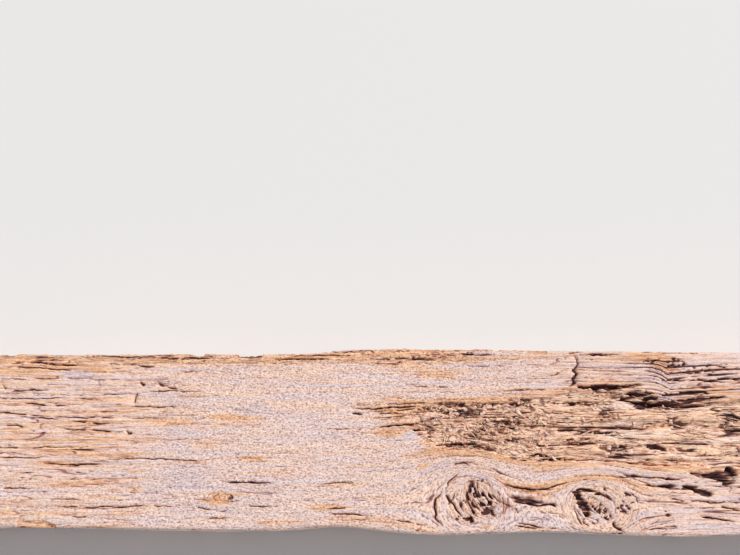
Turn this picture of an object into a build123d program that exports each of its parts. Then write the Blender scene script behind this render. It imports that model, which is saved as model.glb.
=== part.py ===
from build123d import *
import math
import os

# A used timber railway sleeper, one sawn beam. X runs along it, Y across it and Z up, and the
# origin is the middle of the bed face. Sizes are in millimetres.

# Sawn timber
LENGTH = 2600.0
WIDTH = 250.0
HEIGHT = 150.0

# Worn arrises
TOP_ARRIS = 6.0
BED_ARRIS = 3.0

# Rails that the sleeper carried
GAUGE = 1435.0
RAIL_HEAD = 70.0

# Flat seats pressed in by the two baseplates
PLATE_LENGTH = 345.0
PLATE_WIDTH = 160.0
PLATE_SINK = 3.0
PLATE_CORNER = 6.0

# Coach-screw holes, four through each seat
SCREW_HOLE = 22.0
SCREW_PITCH_X = 295.0
SCREW_PITCH_Y = 100.0

# How far each long side stands out from its sawn line: (place along, stand-out)
WORN_STRETCH = 620.0
FRONT_WANDER = [
    (-560, -2.0), (-386, -1.4), (-168, 1.9), (-96, -0.6), (-40, -4.2), (0, 0.0),
    (108, 7.0), (236, 3.0), (343, 6.4), (496, 6.7),
]
BACK_WANDER = [
    (-540, -2.0), (-382, -1.8), (-199, -0.6), (-100, 1.0), (-30, 6.0), (50, 6.6),
    (169, 6.9), (285, 4.0), (467, 1.0),
]

# Splinters torn off the back top arris: (start, length, bite into the face, drop)
BACK_TEARS = [
    (-640, 104, 9, 13), (-272, 21, 14, 17), (-203, 40, 12, 15), (-168, 78, 6, 9),
    (-92, 96, 5, 5), (10, 128, 9, 6), (70, 96, 17, 3), (196, 78, 6, 7), (412, 96, 6, 8),
]

# Splinters torn off the front top arris, in the same terms
FRONT_TEARS = [(-478, 52, 13, 4), (-452, 60, 6, 8), (520, 46, 7, 6)]

# Rotted hollow: stepped beds of the slivers that have gone: (x, y, length, width, depth,
# turn in degrees, dip of the floor in degrees)
ROT_SLIVERS = [
    (120, 22, 126, 19, 4, 3, 0.6), (150, 4, 150, 11, 6, -2, 0.4), (142, -11, 116, 17, 3.5, 2, -0.6),
    (205, 38, 180, 11, 5, 1, 0.8), (232, 23, 210, 23, 6, 181, 0.5), (226, 5, 190, 9, 9, 0, -0.6),
    (238, -13, 200, 25, 6, 178, 0.7), (262, -32, 150, 8, 8, -3, 0.4),
    (330, 58, 190, 13, 6, 181, 0.6), (348, 69, 134, 9, 9, 0, 0.5), (322, 41, 214, 22, 7, -1, 0.6),
    (352, 25, 240, 12, 9, 180, -0.5), (340, 10, 250, 24, 6, 1, 0.5), (356, -7, 220, 9, 10, 179, 0.5),
    (348, -22, 240, 22, 6, 0, -0.4), (372, -37, 200, 9, 9, -2, 0.5),
    (396, 50, 66, 25, 13, 190, 1.5), (470, 46, 150, 14, 11, 3, 0.8), (452, 62, 110, 10, 5, 178, 0.6),
    (476, 30, 190, 23, 8, 181, -0.6), (486, 14, 170, 9, 11, -1, 0.8), (482, 0, 180, 21, 7, 180, 0.5),
    (500, -14, 150, 9, 9, 2, -0.7), (476, -28, 170, 19, 6, 179, 0.5), (470, -43, 120, 9, 6, -2, 0.4),
    (548, 40, 72, 20, 7, 176, 1.0), (556, 8, 62, 14, 5, 4, -0.8),
    (176, 21, 48, 10, 8, 3, 0), (282, 31, 58, 13, 10, 184, 0), (306, -19, 54, 12, 9, 183, 0),
    (418, 3, 66, 15, 10, -3, 0), (432, -17, 60, 10, 9, 2, 0), (300, 8, 50, 9, 9, 178, 0),
]

# Cavities beside the rot, in the same terms
CAVITIES = [
    (494, -60, 64, 27, 14, 172, 1.0), (450, -76, 54, 12, 6, -5, 0.5), (396, -67, 66, 8, 5, -1, 0.5),
]

# Drying checks in the top face: (x, y, length, width, depth, turn in degrees)
TOP_CHECKS = [
    (-508, 64, 66, 2.5, 7, 1), (-486, 43, 100, 2.5, 8, -1), (-409, 8, 112, 3, 10, -2),
    (-352, -95, 202, 1.6, 8, 0), (-416, -40, 100, 3, 10, -1), (-486, 105, 118, 4, 14, -5),
    (-106, 112, 98, 3.5, 14, 0), (-175, -64, 87, 2, 6, -2), (-33, -112, 70, 4, 9, 0),
    (50, 40, 96, 3, 8, 2), (46, 20, 104, 3, 8, 8), (220, -69, 78, 3, 7, -4),
    (224, -91, 64, 5, 11, -6), (351, 120, 72, 2, 5, 0), (395, -56, 88, 3.5, 9, -3),
    (474, -109, 52, 2.5, 6, -8), (-478, 24, 54, 2, 5, 0), (-516, 12, 36, 2, 5, -4),
    (-408, 17, 66, 2.5, 6, -3), (-384, 34, 30, 2, 5, 0), (-490, -51, 44, 2, 5, 0),
    (-494, -72, 40, 2, 4, 0), (-410, -20, 48, 2, 4, 0), (-302, 52, 96, 2, 4, 0),
    (-346, 53, 22, 2.5, 5, -86), (-300, 73, 40, 2.5, 5, -18), (495, 79, 128, 3, 8, -1),
    (506, 89, 110, 3, 7, -3), (301, 88, 38, 2.5, 5, 72), (402, -70, 48, 2.5, 6, -2),
    (507, -98, 60, 2.5, 6, -4), (228, -121, 64, 2.5, 5, -7),
]

# Drying checks in the two sides: (side, x, height above the bed, length, width, depth)
SIDE_CHECKS = [
    (-1, -262, 84, 430, 3.5, 14), (-1, 452, 61, 360, 3, 12), (-1, -880, 70, 300, 3, 11),
    (1, 118, 88, 470, 4, 15), (1, -610, 66, 320, 3, 12), (1, 870, 74, 280, 3, 11),
]

# Splits that open at the two ends: (end, degrees about the heart, reach from the heart)
HEART_HEIGHT = 66.0
SPLIT_MOUTH = 4.0
SPLIT_RUN = 130.0
END_SPLITS = [(-1, 78, 60), (-1, 196, 92), (-1, -48, 58), (1, 104, 62), (1, -8, 96), (1, 232, 60)]

# Knots near the front arris: (x, distance from the front sawn line, width along, width across,
# depth of the dish, turn in degrees, arcs of lost early wood), and each arc is (share of the
# knot's radius, start and sweep in degrees, width, depth)
KNOTS = [
    (137, 33, 92, 66, 2.6, 10, [
        (0.97, 118, 124, 5, 4), (0.74, 150, 78, 4, 4.5), (0.80, 28, 84, 4, 4), (0.92, -70, 92, 4, 3.5),
    ]),
    (314, 31, 84, 58, 3, -8, [
        (0.66, 92, 128, 10, 9), (0.70, 14, 74, 5, 6), (0.95, 158, 92, 4, 4), (0.90, -58, 96, 4, 4),
    ]),
    (-203, 41, 30, 15, 1.6, 0, [(0.70, -40, 150, 2.5, 3)]),
]

# Chips gone from the knots' cores: (x, distance from the front sawn line, length, width, depth,
# turn in degrees)
KNOT_CHIPS = [
    (137, 40, 13, 5, 6, -52), (147, 49, 14, 5, 6, -48), (150, 36, 15, 6, 8, -56),
    (160, 45, 13, 5, 7, -50), (158, 30, 14, 5, 7, -52), (168, 38, 12, 5, 6, -49),
    (144, 25, 13, 5, 6, -56), (155, 20, 12, 5, 6, -50), (167, 25, 10, 4, 5, -53),
    (136, 52, 10, 4, 5, -50), (160, 56, 11, 4, 5, -46), (312, 37, 17, 4, 5, 40),
    (320, 31, 20, 4, 5, 43), (329, 28, 18, 4, 5, 38), (321, 21, 16, 4, 5, 45),
    (334, 20, 14, 3, 5, 40), (404, 22, 9, 8, 6, 20),
]

# Cutters stand this far clear of the face that they cut
CLEAR = 2.0
SIDE_CLEAR = 9.0


def at_front(distance):
    return -WIDTH / 2 + distance


def leaf(length, width):
    """Pointed outline of two arcs, as a check or a torn fibre opens."""
    tip = length / 2
    edges = [
        ThreePointArc((-tip, 0), (0, width / 2), (tip, 0)),
        ThreePointArc((tip, 0), (0, -width / 2), (-tip, 0)),
    ]
    return make_face(edges)


def check_blade(length, width, depth, clear=CLEAR):
    """Wedge that is widest over the surface, z 0, and runs out to a thin root."""
    root_length, root_width = 0.62, 0.16
    mouth = Pos(0, 0, clear) * leaf(length, width)
    root = Pos(0, 0, -depth) * leaf(length * root_length, width * root_width)
    return loft([mouth, root])


def sliver(length, width, depth):
    """Bed of a lost sliver: ragged, pointed outline with steep walls down to a flat floor."""
    outline = [
        (-0.50, 0.06), (-0.30, 0.40), (-0.04, 0.50), (0.20, 0.34),
        (0.50, 0.02), (0.30, -0.30), (-0.02, -0.50), (-0.34, -0.26),
    ]
    floor_share = 0.84
    rings = []
    for z, share in ((CLEAR, 1.0), (-depth, floor_share)):
        points = [(share * u * length, share * v * width) for u, v in outline]
        rings.append(Pos(0, 0, z) * make_face(Polyline(*points, close=True)))
    return loft(rings, ruled=True)


def knot_dish(along, across, depth):
    """Shallow oval dish, a little deeper in the middle."""
    radius = across / 2
    profile = Polyline(
        (0, CLEAR), (0, -depth), (0.55 * radius, -0.85 * depth), (radius, 0), (radius, CLEAR),
        close=True,
    )
    dish = revolve(Plane.XZ * make_face(profile), Axis.Z)
    return scale(dish, by=(along / across, 1, 1))


def knot_arc(along, across, share, start, sweep, width, depth):
    """Curved groove with pointed ends that follows the knot's outline."""
    def place(turn, inset):
        angle = math.radians(turn)
        return (
            (share * along / 2 - inset) * math.cos(angle),
            (share * across / 2 - inset) * math.sin(angle),
        )
    first, last = place(start, 0), place(start + sweep, 0)
    middle = start + sweep / 2
    edges = [
        ThreePointArc(first, place(middle, 0), last),
        ThreePointArc(last, place(middle, width), first),
    ]
    return Pos(0, 0, -depth) * extrude(make_face(edges), depth + CLEAR)


def wandering_side(side, wander):
    """Long edge of the plan: straight near the ends, worn and wavy between them."""
    sawn = side * WIDTH / 2
    end = LENGTH / 2
    worn = [(-WORN_STRETCH, sawn)]
    worn += [(x, sawn + side * out) for x, out in wander]
    worn += [(WORN_STRETCH, sawn)]
    along = [(1, 0), (1, 0)]
    return [
        Line((-end, sawn), worn[0]),
        Spline(*worn, tangents=along),
        Line(worn[-1], (end, sawn)),
    ]


def make_beam():
    """Sawn beam with worn long sides and rounded arrises."""
    end = LENGTH / 2
    outline = wandering_side(-1, FRONT_WANDER) + wandering_side(1, BACK_WANDER)
    outline += [Line((x, -WIDTH / 2), (x, WIDTH / 2)) for x in (-end, end)]
    beam = extrude(make_face(outline), HEIGHT)
    beam = fillet(beam.faces().sort_by(Axis.Z)[-1].edges(), TOP_ARRIS)
    return fillet(beam.faces().sort_by(Axis.Z)[0].edges(), BED_ARRIS)


def arris_tears(side, tears):
    """Stepped notches where splinters have come away along one top arris."""
    outside = WIDTH / 2 + 4 * CLEAR
    cutters = []
    for start, length, bite, drop in tears:
        inner = WIDTH / 2 - bite
        plan = Polyline(
            (start, outside), (start + 0.06 * length, inner + 0.3 * bite),
            (start + 0.22 * length, inner), (start + 0.7 * length, inner + 0.16 * bite),
            (start + 0.94 * length, inner + 0.4 * bite), (start + length, outside),
            (start, outside),
        )
        tear = extrude(make_face(plan), drop + CLEAR)
        tear = Pos(0, 0, HEIGHT - drop) * tear
        cutters.append(tear if side > 0 else mirror(tear, Plane.XZ))
    return cutters


def rot_hollow():
    """Stepped beds of the rotted hollow and the cavities beside it."""
    return [
        Pos(x, y, HEIGHT) * Rot(0, 0, turn) * Rot(0, dip, 0) * sliver(length, width, depth)
        for x, y, length, width, depth, turn, dip in ROT_SLIVERS + CAVITIES
    ]


def drying_checks():
    """Cracks along the grain in the top face and the two sides."""
    cutters = []
    for x, y, length, width, depth, turn in TOP_CHECKS:
        blade = check_blade(length, width, depth)
        cutters.append(Pos(x, y, HEIGHT) * Rot(0, 0, turn) * blade)
    for side, x, height, length, width, depth in SIDE_CHECKS:
        blade = check_blade(length, width, depth, SIDE_CLEAR)
        cutters.append(Pos(x, side * WIDTH / 2, height) * Rot(-90 * side, 0, 0) * blade)
    return cutters


def end_splits():
    """Thin wedges that run out from the heart and into the ends."""
    cutters = []
    for end, angle, reach in END_SPLITS:
        face = end * (LENGTH / 2 + CLEAR)
        wedge = Polyline(
            (face, -SPLIT_MOUTH / 2), (face, SPLIT_MOUTH / 2),
            (face - end * SPLIT_RUN, 0), (face, -SPLIT_MOUTH / 2),
        )
        blade = extrude(make_face(wedge), reach)
        cutters.append(Pos(0, 0, HEART_HEIGHT) * Rot(angle - 90, 0, 0) * blade)
    return cutters


def knots():
    """Dished knots with arcs of wood and the chips of their cores gone."""
    cutters = []
    for x, distance, along, across, depth, turn, arcs in KNOTS:
        seat = Pos(x, at_front(distance), HEIGHT) * Rot(0, 0, turn)
        cutters.append(seat * knot_dish(along, across, depth))
        for share, start, sweep, arc_width, arc_depth in arcs:
            arc = knot_arc(along, across, share, start, sweep, arc_width, arc_depth)
            cutters.append(seat * arc)
    for x, distance, length, width, depth, turn in KNOT_CHIPS:
        chip = Rot(0, 0, turn) * sliver(length, width, depth)
        cutters.append(Pos(x, at_front(distance), HEIGHT) * chip)
    return cutters


def rail_seats():
    """Baseplate impressions and the screw holes through them."""
    cutters = []
    centre = (GAUGE + RAIL_HEAD) / 2
    for side in (-1, 1):
        seat = extrude(RectangleRounded(PLATE_LENGTH, PLATE_WIDTH, PLATE_CORNER), PLATE_SINK + CLEAR)
        cutters.append(Pos(side * centre, 0, HEIGHT - PLATE_SINK) * seat)
        for along in (-1, 1):
            for across in (-1, 1):
                x = side * centre + along * SCREW_PITCH_X / 2
                y = across * SCREW_PITCH_Y / 2
                hole = Cylinder(SCREW_HOLE / 2, HEIGHT + 2 * CLEAR)
                cutters.append(Pos(x, y, HEIGHT / 2) * hole)
    return cutters


def make_sleeper():
    sleeper = make_beam()
    for cutters in (
        rail_seats(), arris_tears(1, BACK_TEARS), arris_tears(-1, FRONT_TEARS),
        rot_hollow(), knots(), drying_checks(), end_splits(),
    ):
        sleeper -= cutters
    return sleeper


sleeper = make_sleeper()
os.makedirs("parts", exist_ok=True)
export_step(sleeper, "parts/sleeper.step")
print("solids", len(sleeper.solids()), "volume in litres", round(sleeper.volume / 1e6, 2))
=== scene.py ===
import math
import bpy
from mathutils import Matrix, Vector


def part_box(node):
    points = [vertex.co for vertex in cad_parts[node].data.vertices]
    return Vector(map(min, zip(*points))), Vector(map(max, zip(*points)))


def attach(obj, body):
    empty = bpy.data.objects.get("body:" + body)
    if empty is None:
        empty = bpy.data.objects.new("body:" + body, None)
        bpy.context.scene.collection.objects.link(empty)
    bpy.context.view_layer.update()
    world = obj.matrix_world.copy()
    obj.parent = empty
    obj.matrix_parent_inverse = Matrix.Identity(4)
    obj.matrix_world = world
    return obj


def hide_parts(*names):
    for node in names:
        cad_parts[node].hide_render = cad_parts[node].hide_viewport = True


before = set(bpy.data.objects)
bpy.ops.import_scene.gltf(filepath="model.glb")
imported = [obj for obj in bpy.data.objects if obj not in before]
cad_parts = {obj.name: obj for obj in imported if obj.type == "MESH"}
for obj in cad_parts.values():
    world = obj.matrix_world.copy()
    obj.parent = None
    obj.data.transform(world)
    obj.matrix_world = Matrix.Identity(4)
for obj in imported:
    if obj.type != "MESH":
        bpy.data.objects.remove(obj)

from types import SimpleNamespace

import bpy
import numpy as np
from mathutils import bvhtree, kdtree

# A weathered timber railway sleeper. Fields and lists are in millimetres in the frame of the
# CAD solid, and a mesh is turned into metres as it is made.
MM = 0.001
UP = np.array([0.0, 0.0, 1.0])
NODE = "sleeper"

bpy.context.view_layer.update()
low, high = [np.array(corner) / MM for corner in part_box(NODE)]
HALF_LENGTH = high[0]
HEIGHT = high[2]

# The solid's rounded arrises, and its sawn sides away from the worn stretch
TOP_ARRIS = 6.0
BED_ARRIS = 3.0
END_ARRIS = 2.0
SAWN_SIDE = 125.0

# Fields on the vertices: stains of the wood, and in the dark field both darker wood and painted
# shade in cracks, pits, gaps and hollows
STAINS_AND_SHADE = ("fresh", "grey", "rot", "dark", "bleach", "grit")

# Spacing of the mesh: fine over the middle stretch and the knots, coarser beyond
FINE_REACH = 592.0
FINE_STEP = 2.0
COARSE_STEP = 5.5
KNOT_ROOM = 6.0
TOP_STEP = 0.9
SIDE_STEP = 3.2
BED_STEP = 10.0
TIMBER_TRIANGLES = 194000

# The mesh stays this far inside the solid's box
BOX_MARGIN = 0.1

# Least and most depth of the wear, and a distance that is off every cut
SHALLOWEST = 0.05
DEEPEST = 24.0
FAR_OFF = 99.0

# Baseplate seats and screw holes, as in the solid
SEAT_CENTRE = 752.5
SEAT_LENGTH = 345.0
SEAT_WIDTH = 160.0
SEAT_SINK = 3.0
HOLE_RADIUS = 11.0
HOLE_PITCH = (295.0, 100.0)

# Rings of the mesh beside a seat's rim; a drill's sides and overshoot, and the rust round a hole
SEAT_RIM_STEPS = (-2.0, -0.8, 0.4, 1.6)
HOLE_SIDES = 28
HOLE_CLEAR = 5.0
RUST_REACH = 9.0

# Knots: (x, y, half length, half width, turn in degrees)
KNOTS = [
    (137.0, -92.0, 48.0, 37.0, 14.0),
    (314.0, -96.0, 44.0, 31.0, -8.0),
    (-203.0, -84.0, 16.0, 5.0, 4.0),
]
BIG_KNOTS = KNOTS[:2]

# The grain's sudden step near the back arris: place, drop, run-in and fading
KINK_X, KINK_Y, KINK_REACH = 447.0, 76.0, 27.0
KINK_DROP, KINK_RUN, KINK_FADE = 13.0, 34.0, 130.0

# Distance between the face's hard bands of late wood, a knot's rings and an end's growth rings
RIDGE_PITCH = 5.6
KNOT_RING_PITCH = 4.4
RING_PITCH = 4.6

# Plan of the rotted hollow: (x, near side y, far side y)
ROT_PLAN = [
    (52, 18, 27), (78, -8, 42), (100, -17, 47), (160, -22, 49), (205, -33, 50), (262, -36, 56),
    (300, -38, 66), (345, -37, 71), (400, -41, 69), (412, -43, 60), (430, -44, 47),
    (512, -46, 47), (546, -50, 52), (572, -34, 40), (590, 2, 14),
]
PLAN_X, PLAN_NEAR, PLAN_FAR = np.array(ROT_PLAN, dtype=float).T

# Where loose pieces lie across the face: in the hollow, and on the torn back arris
HOLLOW_BAND = (-48, 70)
BACK_BAND = (104, 119)

# Cavities: (depth, [(x, y, half width), ...])
CAVITIES = [
    (10, [(312, 69, 1.5), (340, 70, 3), (380, 71, 3), (404, 72, 3.5), (412, 68, 2)]),
    (12, [(372, 56, 2), (388, 52, 7), (404, 46, 9), (424, 44, 5)]),
    (9, [(424, 44, 3), (455, 47, 3.5), (490, 51, 3), (525, 55, 2)]),
    (8, [(505, 30, 2), (530, 26, 7), (560, 20, 6)]),
    (9, [(382, 61, 2), (396, 60, 4), (411, 57, 4.5), (424, 53, 3)]),
    (6, [(436, 58, 1.5), (470, 60, 3), (500, 62, 1.5)]),
    (14, [(452, -53, 1.5), (478, -55, 5), (498, -58, 11), (508, -50, 6)]),
    (6, [(436, -70, 2), (452, -75, 5), (470, -80, 3)]),
    (7, [(396, -13, 2), (412, -16, 5), (424, -20, 2)]),
    (6, [(222, -30, 3), (244, -31, 4), (262, -34, 2)]),
    (5, [(276, 8, 1.5), (330, 6, 2.5), (352, 3, 1.5)]),
    (4, [(108, 34, 2), (136, 31, 6), (164, 34, 3)]),
    (4, [(146, -6, 2), (170, -5, 4), (182, -8, 2)]),
    (4, [(404, -102, 3), (406, -104, 3)]),
    (5, [(152, -74, 1.5), (161, -85, 3), (166, -97, 3), (168, -106, 1.5)]),
    (10, [(284, -79, 2.5), (289, -85, 6), (294, -93, 7), (296, -103, 4)]),
    (8, [(287, -76, 2), (297, -74, 2.6), (306, -75, 2.6), (317, -78, 2)]),
]

# Families of fine checks: (seed, size along, size across, half width)
FINE_CHECKS = [(61, 160, 8.5, 0.045), (63, 70, 5.0, 0.05)]

# Hair-thin checks: their number and reach, and the stretch where most of them are short
HAIR_CHECKS = 420
HAIR_REACH_X = (-590, 590)
HAIR_REACH_Y = (-118, 112)
CALM_STRETCH = (-330, 60)
CALM_SHARE = 0.7

# Open checks, drawn along the face: (width, depth, [(x, y), ...])
CHECKS = [
    (1.5, 4, [(-588, 82), (-530, 81), (-470, 83), (-402, 82)]),
    (1.5, 4, [(-575, 54), (-520, 52), (-455, 53), (-380, 52)]),
    (1.6, 5, [(-590, 35), (-548, 33), (-505, 29), (-470, 27)]),
    (1.5, 4, [(-470, 25), (-420, 24), (-352, 26)]),
    (1.6, 4, [(-372, 41), (-330, 40), (-280, 41), (-232, 39)]),
    (1.5, 4, [(-592, -16), (-530, -18), (-460, -17), (-388, -16)]),
    (1.5, 4, [(-380, -33), (-320, -32), (-262, -35), (-214, -34)]),
    (1.5, 3, [(-560, -29), (-510, -31), (-452, -30)]),
    (1.5, 4, [(-340, 62), (-290, 64), (-240, 63)]),
    (1.5, 3, [(-590, -96), (-548, -98), (-500, -97)]),
    (1.6, 4, [(-300, 92), (-250, 94), (-196, 92)]),
    (1.6, 5, [(-20, 42), (20, 44), (72, 46), (118, 44)]),
    (1.5, 4, [(-8, 24), (30, 25), (66, 28)]),
    (1.6, 4, [(182, 62), (230, 66), (290, 66)]),
    (1.6, 4, [(360, -88), (410, -86), (470, -90), (540, -88)]),
    (1.9, 6, [(-541, 63), (-508, 65), (-476, 65)]),
    (2.0, 7, [(-535, 44), (-500, 45), (-470, 42), (-437, 43)]),
    (1.7, 5, [(-504, 24), (-478, 25), (-451, 23)]),
    (1.7, 5, [(-533, 14), (-512, 13), (-499, 10)]),
    (2.0, 6, [(-441, 19), (-405, 18), (-376, 16)]),
    (2.1, 8, [(-464, 10), (-430, 8), (-398, 8), (-372, 5), (-353, 5)]),
    (1.6, 5, [(-398, 34), (-369, 34)]),
    (1.7, 4, [(-434, -20), (-410, -21), (-388, -20)]),
    (2.1, 8, [(-466, -38), (-430, -40), (-398, -40), (-366, -41)]),
    (1.7, 4, [(-511, -50), (-490, -51), (-469, -50)]),
    (1.6, 4, [(-512, -72), (-475, -72)]),
    (1.5, 3, [(-489, -86), (-440, -87), (-388, -86)]),
    (1.5, 5, [(-452, -95), (-380, -96), (-310, -95), (-252, -95)]),
    (1.5, 5, [(-242, -95), (-222, -98), (-205, -102), (-191, -99)]),
    (1.6, 3, [(-424, -107), (-396, -108), (-369, -107)]),
    (1.6, 3, [(-357, 24), (-310, 23), (-269, 24)]),
    (1.7, 4, [(-251, -109), (-220, -111), (-190, -110)]),
    (1.5, 3, [(-175, -95), (-150, -96), (-123, -95)]),
    (2.3, 7, [(-218, -62), (-192, -64), (-168, -64), (-132, -66)]),
    (2.7, 10, [(-544, 109), (-505, 108), (-468, 104), (-428, 100)]),
    (2.5, 12, [(-155, 112), (-110, 113), (-58, 112)]),
    (2.5, 8, [(-68, -112), (-30, -113), (2, -112)]),
    (2.0, 5, [(-61, -105), (-28, -105), (2, -107)]),
    (1.9, 5, [(-60, -97), (-45, -98), (-31, -97)]),
    (1.5, 4, [(-72, -66), (-35, -65), (2, -61)]),
    (2.0, 6, [(0, 34), (45, 35), (78, 38), (110, 38)]),
    (1.7, 5, [(0, 32), (26, 31), (51, 30)]),
    (1.9, 6, [(0, 11), (40, 13), (74, 18), (98, 26), (124, 30)]),
    (1.7, 4, [(60, 71), (80, 70), (122, 69)]),
    (1.9, 5, [(23, -112), (50, -115), (77, -120)]),
    (2.1, 6, [(181, -65), (206, -71), (228, -74), (257, -72)]),
    (3.1, 9, [(192, -86), (212, -91), (232, -94), (255, -92)]),
    (2.3, 6, [(172, -86), (182, -91), (196, -97)]),
    (1.7, 5, [(150, -116), (166, -119), (178, -125)]),
    (1.9, 5, [(196, -116), (225, -120), (258, -125)]),
    (2.3, 9, [(262, -32), (298, -34), (333, -33), (360, -37), (387, -40), (441, -43)]),
    (2.5, 8, [(351, -54), (380, -56), (410, -60), (439, -60)]),
    (2.1, 6, [(379, -68), (402, -70), (425, -70)]),
    (1.9, 6, [(449, -107), (474, -110), (500, -115)]),
    (2.0, 5, [(478, -96), (505, -99), (536, -100)]),
    (1.6, 4, [(357, -122), (386, -123), (417, -122)]),
    (2.6, 9, [(312, 66), (350, 69), (378, 69), (400, 70)]),
    (2.1, 7, [(431, 79), (470, 80), (500, 79), (560, 76)]),
    (1.9, 5, [(452, 92), (500, 90), (560, 86)]),
    (1.6, 4, [(315, 120), (350, 121), (387, 120)]),
    (1.6, 4, [(500, 104), (540, 101), (575, 100)]),
    (2.6, 6, [(-31, 37), (3, 38), (44, 40), (103, 41)]),
    (3.4, 6, [(-28, 31), (-19, 30), (-10, 30)]),
    (2.8, 7, [(-19, 10), (26, 12), (62, 16), (78, 21)]),
    (3.8, 10, [(318, 120), (353, 120), (388, 120)]),
    (2.8, 5, [(487, 92), (502, 91)]),
    (4.0, 8, [(484, 83), (500, 80), (514, 77)]),
    (3.6, 8, [(520, 81), (537, 83), (560, 81)]),
    (2.4, 5, [(331, -55), (357, -57), (384, -58), (414, -59), (445, -59)]),
    (4.6, 9, [(376, -67), (391, -69), (407, -69), (428, -69)]),
    (4.2, 8, [(433, -69), (443, -70), (451, -74), (460, -77)]),
    (2.2, 5, [(480, -94), (491, -97), (506, -101)]),
    (2.6, 5, [(451, -107), (466, -111)]),
    (2.4, 5, [(-359, 104), (-341, 101), (-324, 101)]),
    (2.0, 4, [(-562, 100), (-500, 99), (-440, 94)]),
    (2.4, 6, [(184, -63), (197, -69), (210, -72), (225, -73), (247, -72), (264, -66), (286, -64)]),
    (1.8, 4, [(185, -66), (198, -74), (210, -77)]),
    (6.0, 6, [(194, -84), (208, -87), (224, -89), (242, -91)]),
    (5.0, 7, [(247, -92), (256, -94)]),
    (2.4, 6, [(171, -86), (182, -92), (194, -95)]),
    (1.8, 3, [(194, -97), (199, -98), (203, -105)]),
    (2.4, 5, [(-330, 114), (-290, 113), (-240, 115)]),
    (2.4, 5, [(-130, 118), (-60, 119), (0, 117)]),
    (3.0, 6, [(-10, 111), (40, 113), (100, 112)]),
    (2.6, 5, [(90, 119), (150, 120), (200, 118)]),
    (2.2, 4, [(-430, 117), (-370, 116), (-310, 118)]),
    (2.4, 5, [(195, -119), (209, -121), (226, -124)]),
]

# Short ragged breaks across the grain, in the same terms
CROSS_BREAKS = [
    (2.8, 6, [(-345, 62), (-347, 53), (-345, 43)]),
    (3.2, 6, [(-346, 77), (-338, 73), (-336, 69)]),
    (2.8, 5, [(-321, 80), (-314, 74), (-306, 71), (-283, 67)]),
    (2.6, 4, [(-402, 86), (-408, 78), (-402, 66)]),
    (2.4, 4, [(-557, 90), (-549, 72), (-541, 64)]),
    (3.0, 6, [(-354, 8), (-349, 2), (-344, 4)]),
    (4.6, 7, [
        (309, 120), (316, 113), (314, 103), (309, 95), (311, 89), (306, 83), (306, 77), (293, 68),
    ]),
    (2.6, 5, [(287, 113), (286, 106)]),
    (3.2, 6, [(102, -75), (91, -86), (88, -97), (91, -110), (98, -121)]),
    (2.6, 5, [(117, -75), (113, -87), (119, -100), (126, -110)]),
    (2.6, 5, [(123, -72), (120, -84), (124, -97), (132, -108)]),
    (4.0, 5, [(105, -79), (108, -87), (109, -95)]),
    (3.0, 6, [(134, -63), (150, -61), (166, -66), (172, -74)]),
    (2.0, 3, [(107, -44), (120, -40), (132, -39), (143, -43)]),
    (2.0, 3, [(102, -74), (113, -62), (126, -51)]),
    (2.2, 4, [(279, -96), (282, -110), (288, -121)]),
    (2.2, 4, [(359, -76), (367, -84), (369, -93)]),
    (2.4, 4, [(341, -95), (348, -101), (352, -107)]),
    (2.4, 4, [(112, -42), (140, -38), (170, -46), (196, -58)]),
    (2.6, 5, [(290, -110), (291, -117), (297, -121)]),
    (4.4, 3, [(315, -78), (326, -82), (335, -88)]),
    (4.5, 6, [(328, -114), (333, -121), (343, -127)]),
    (1.8, 3, [(308, -110), (312, -114)]),
    (1.8, 3, [(313, -106), (318, -110)]),
    (1.8, 3, [(302, -115), (305, -119)]),
    (1.8, 3, [(318, -102), (324, -105)]),
    (3.2, 4, [(325, -72), (331, -77)]),
    (3.2, 4, [(352, -78), (363, -83)]),
]

# Arris breaks: (side, start, end, bite into the face, drop below it)
ARRIS_BREAKS = [
    (1, -600, -540, 11, 12), (1, -540, -428, 15, 3), (1, -428, -330, 6, 4),
    (1, -330, -276, 9, 2), (1, -273, -252, 15, 26), (1, -246, -204, 6, 4),
    (1, -203, -163, 13, 24), (1, -163, -92, 7, 7), (1, -92, 2, 6, 3), (1, 2, 128, 10, 4),
    (1, 60, 172, 17, 2), (1, 128, 190, 6, 5), (1, 196, 274, 8, 6), (1, 274, 330, 5, 2),
    (1, 412, 508, 5, 4), (1, -700, -640, 7, 8), (1, 690, 790, 6, 5), (1, 1010, 1120, 8, 7),
    (1, -1180, -1060, 7, 6), (-1, -478, -442, 12, 3), (-1, -444, -424, 9, 5),
    (-1, -392, -360, 5, 3), (-1, 518, 566, 8, 6), (-1, 60, 96, 5, 3), (-1, -900, -800, 7, 6),
    (-1, 820, 930, 8, 7),
]

# Long drying checks along the two sides: (side, x, height, length, width, depth)
SIDE_CHECKS = [
    (-1, -262, 84, 430, 4.0, 12), (-1, 452, 61, 360, 3.6, 10), (-1, -880, 70, 300, 3.6, 10),
    (-1, 60, 40, 210, 3.0, 6), (-1, -560, 112, 190, 3.0, 6), (-1, 870, 98, 260, 3.4, 7),
    (1, 118, 88, 470, 4.4, 13), (1, -610, 66, 320, 3.6, 10), (1, 870, 74, 280, 3.6, 10),
    (1, -160, 34, 240, 3.0, 6), (1, 520, 118, 200, 3.0, 6), (1, -1010, 106, 180, 3.0, 6),
]

# Cores of the knots: (x, y, half length, half width, turn, chip length, chip width, depth)
KNOT_CORES = [
    (150, -86, 25, 26, -58, 8.0, 2.8, 5.0), (315, -98, 8, 20, 44, 5.0, 2.5, 4.0),
    (131, -112, 9, 7, 20, 6.0, 3.0, 3.0), (-193, -83, 5, 3.5, 10, 3.0, 2.2, 1.6),
]

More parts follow.
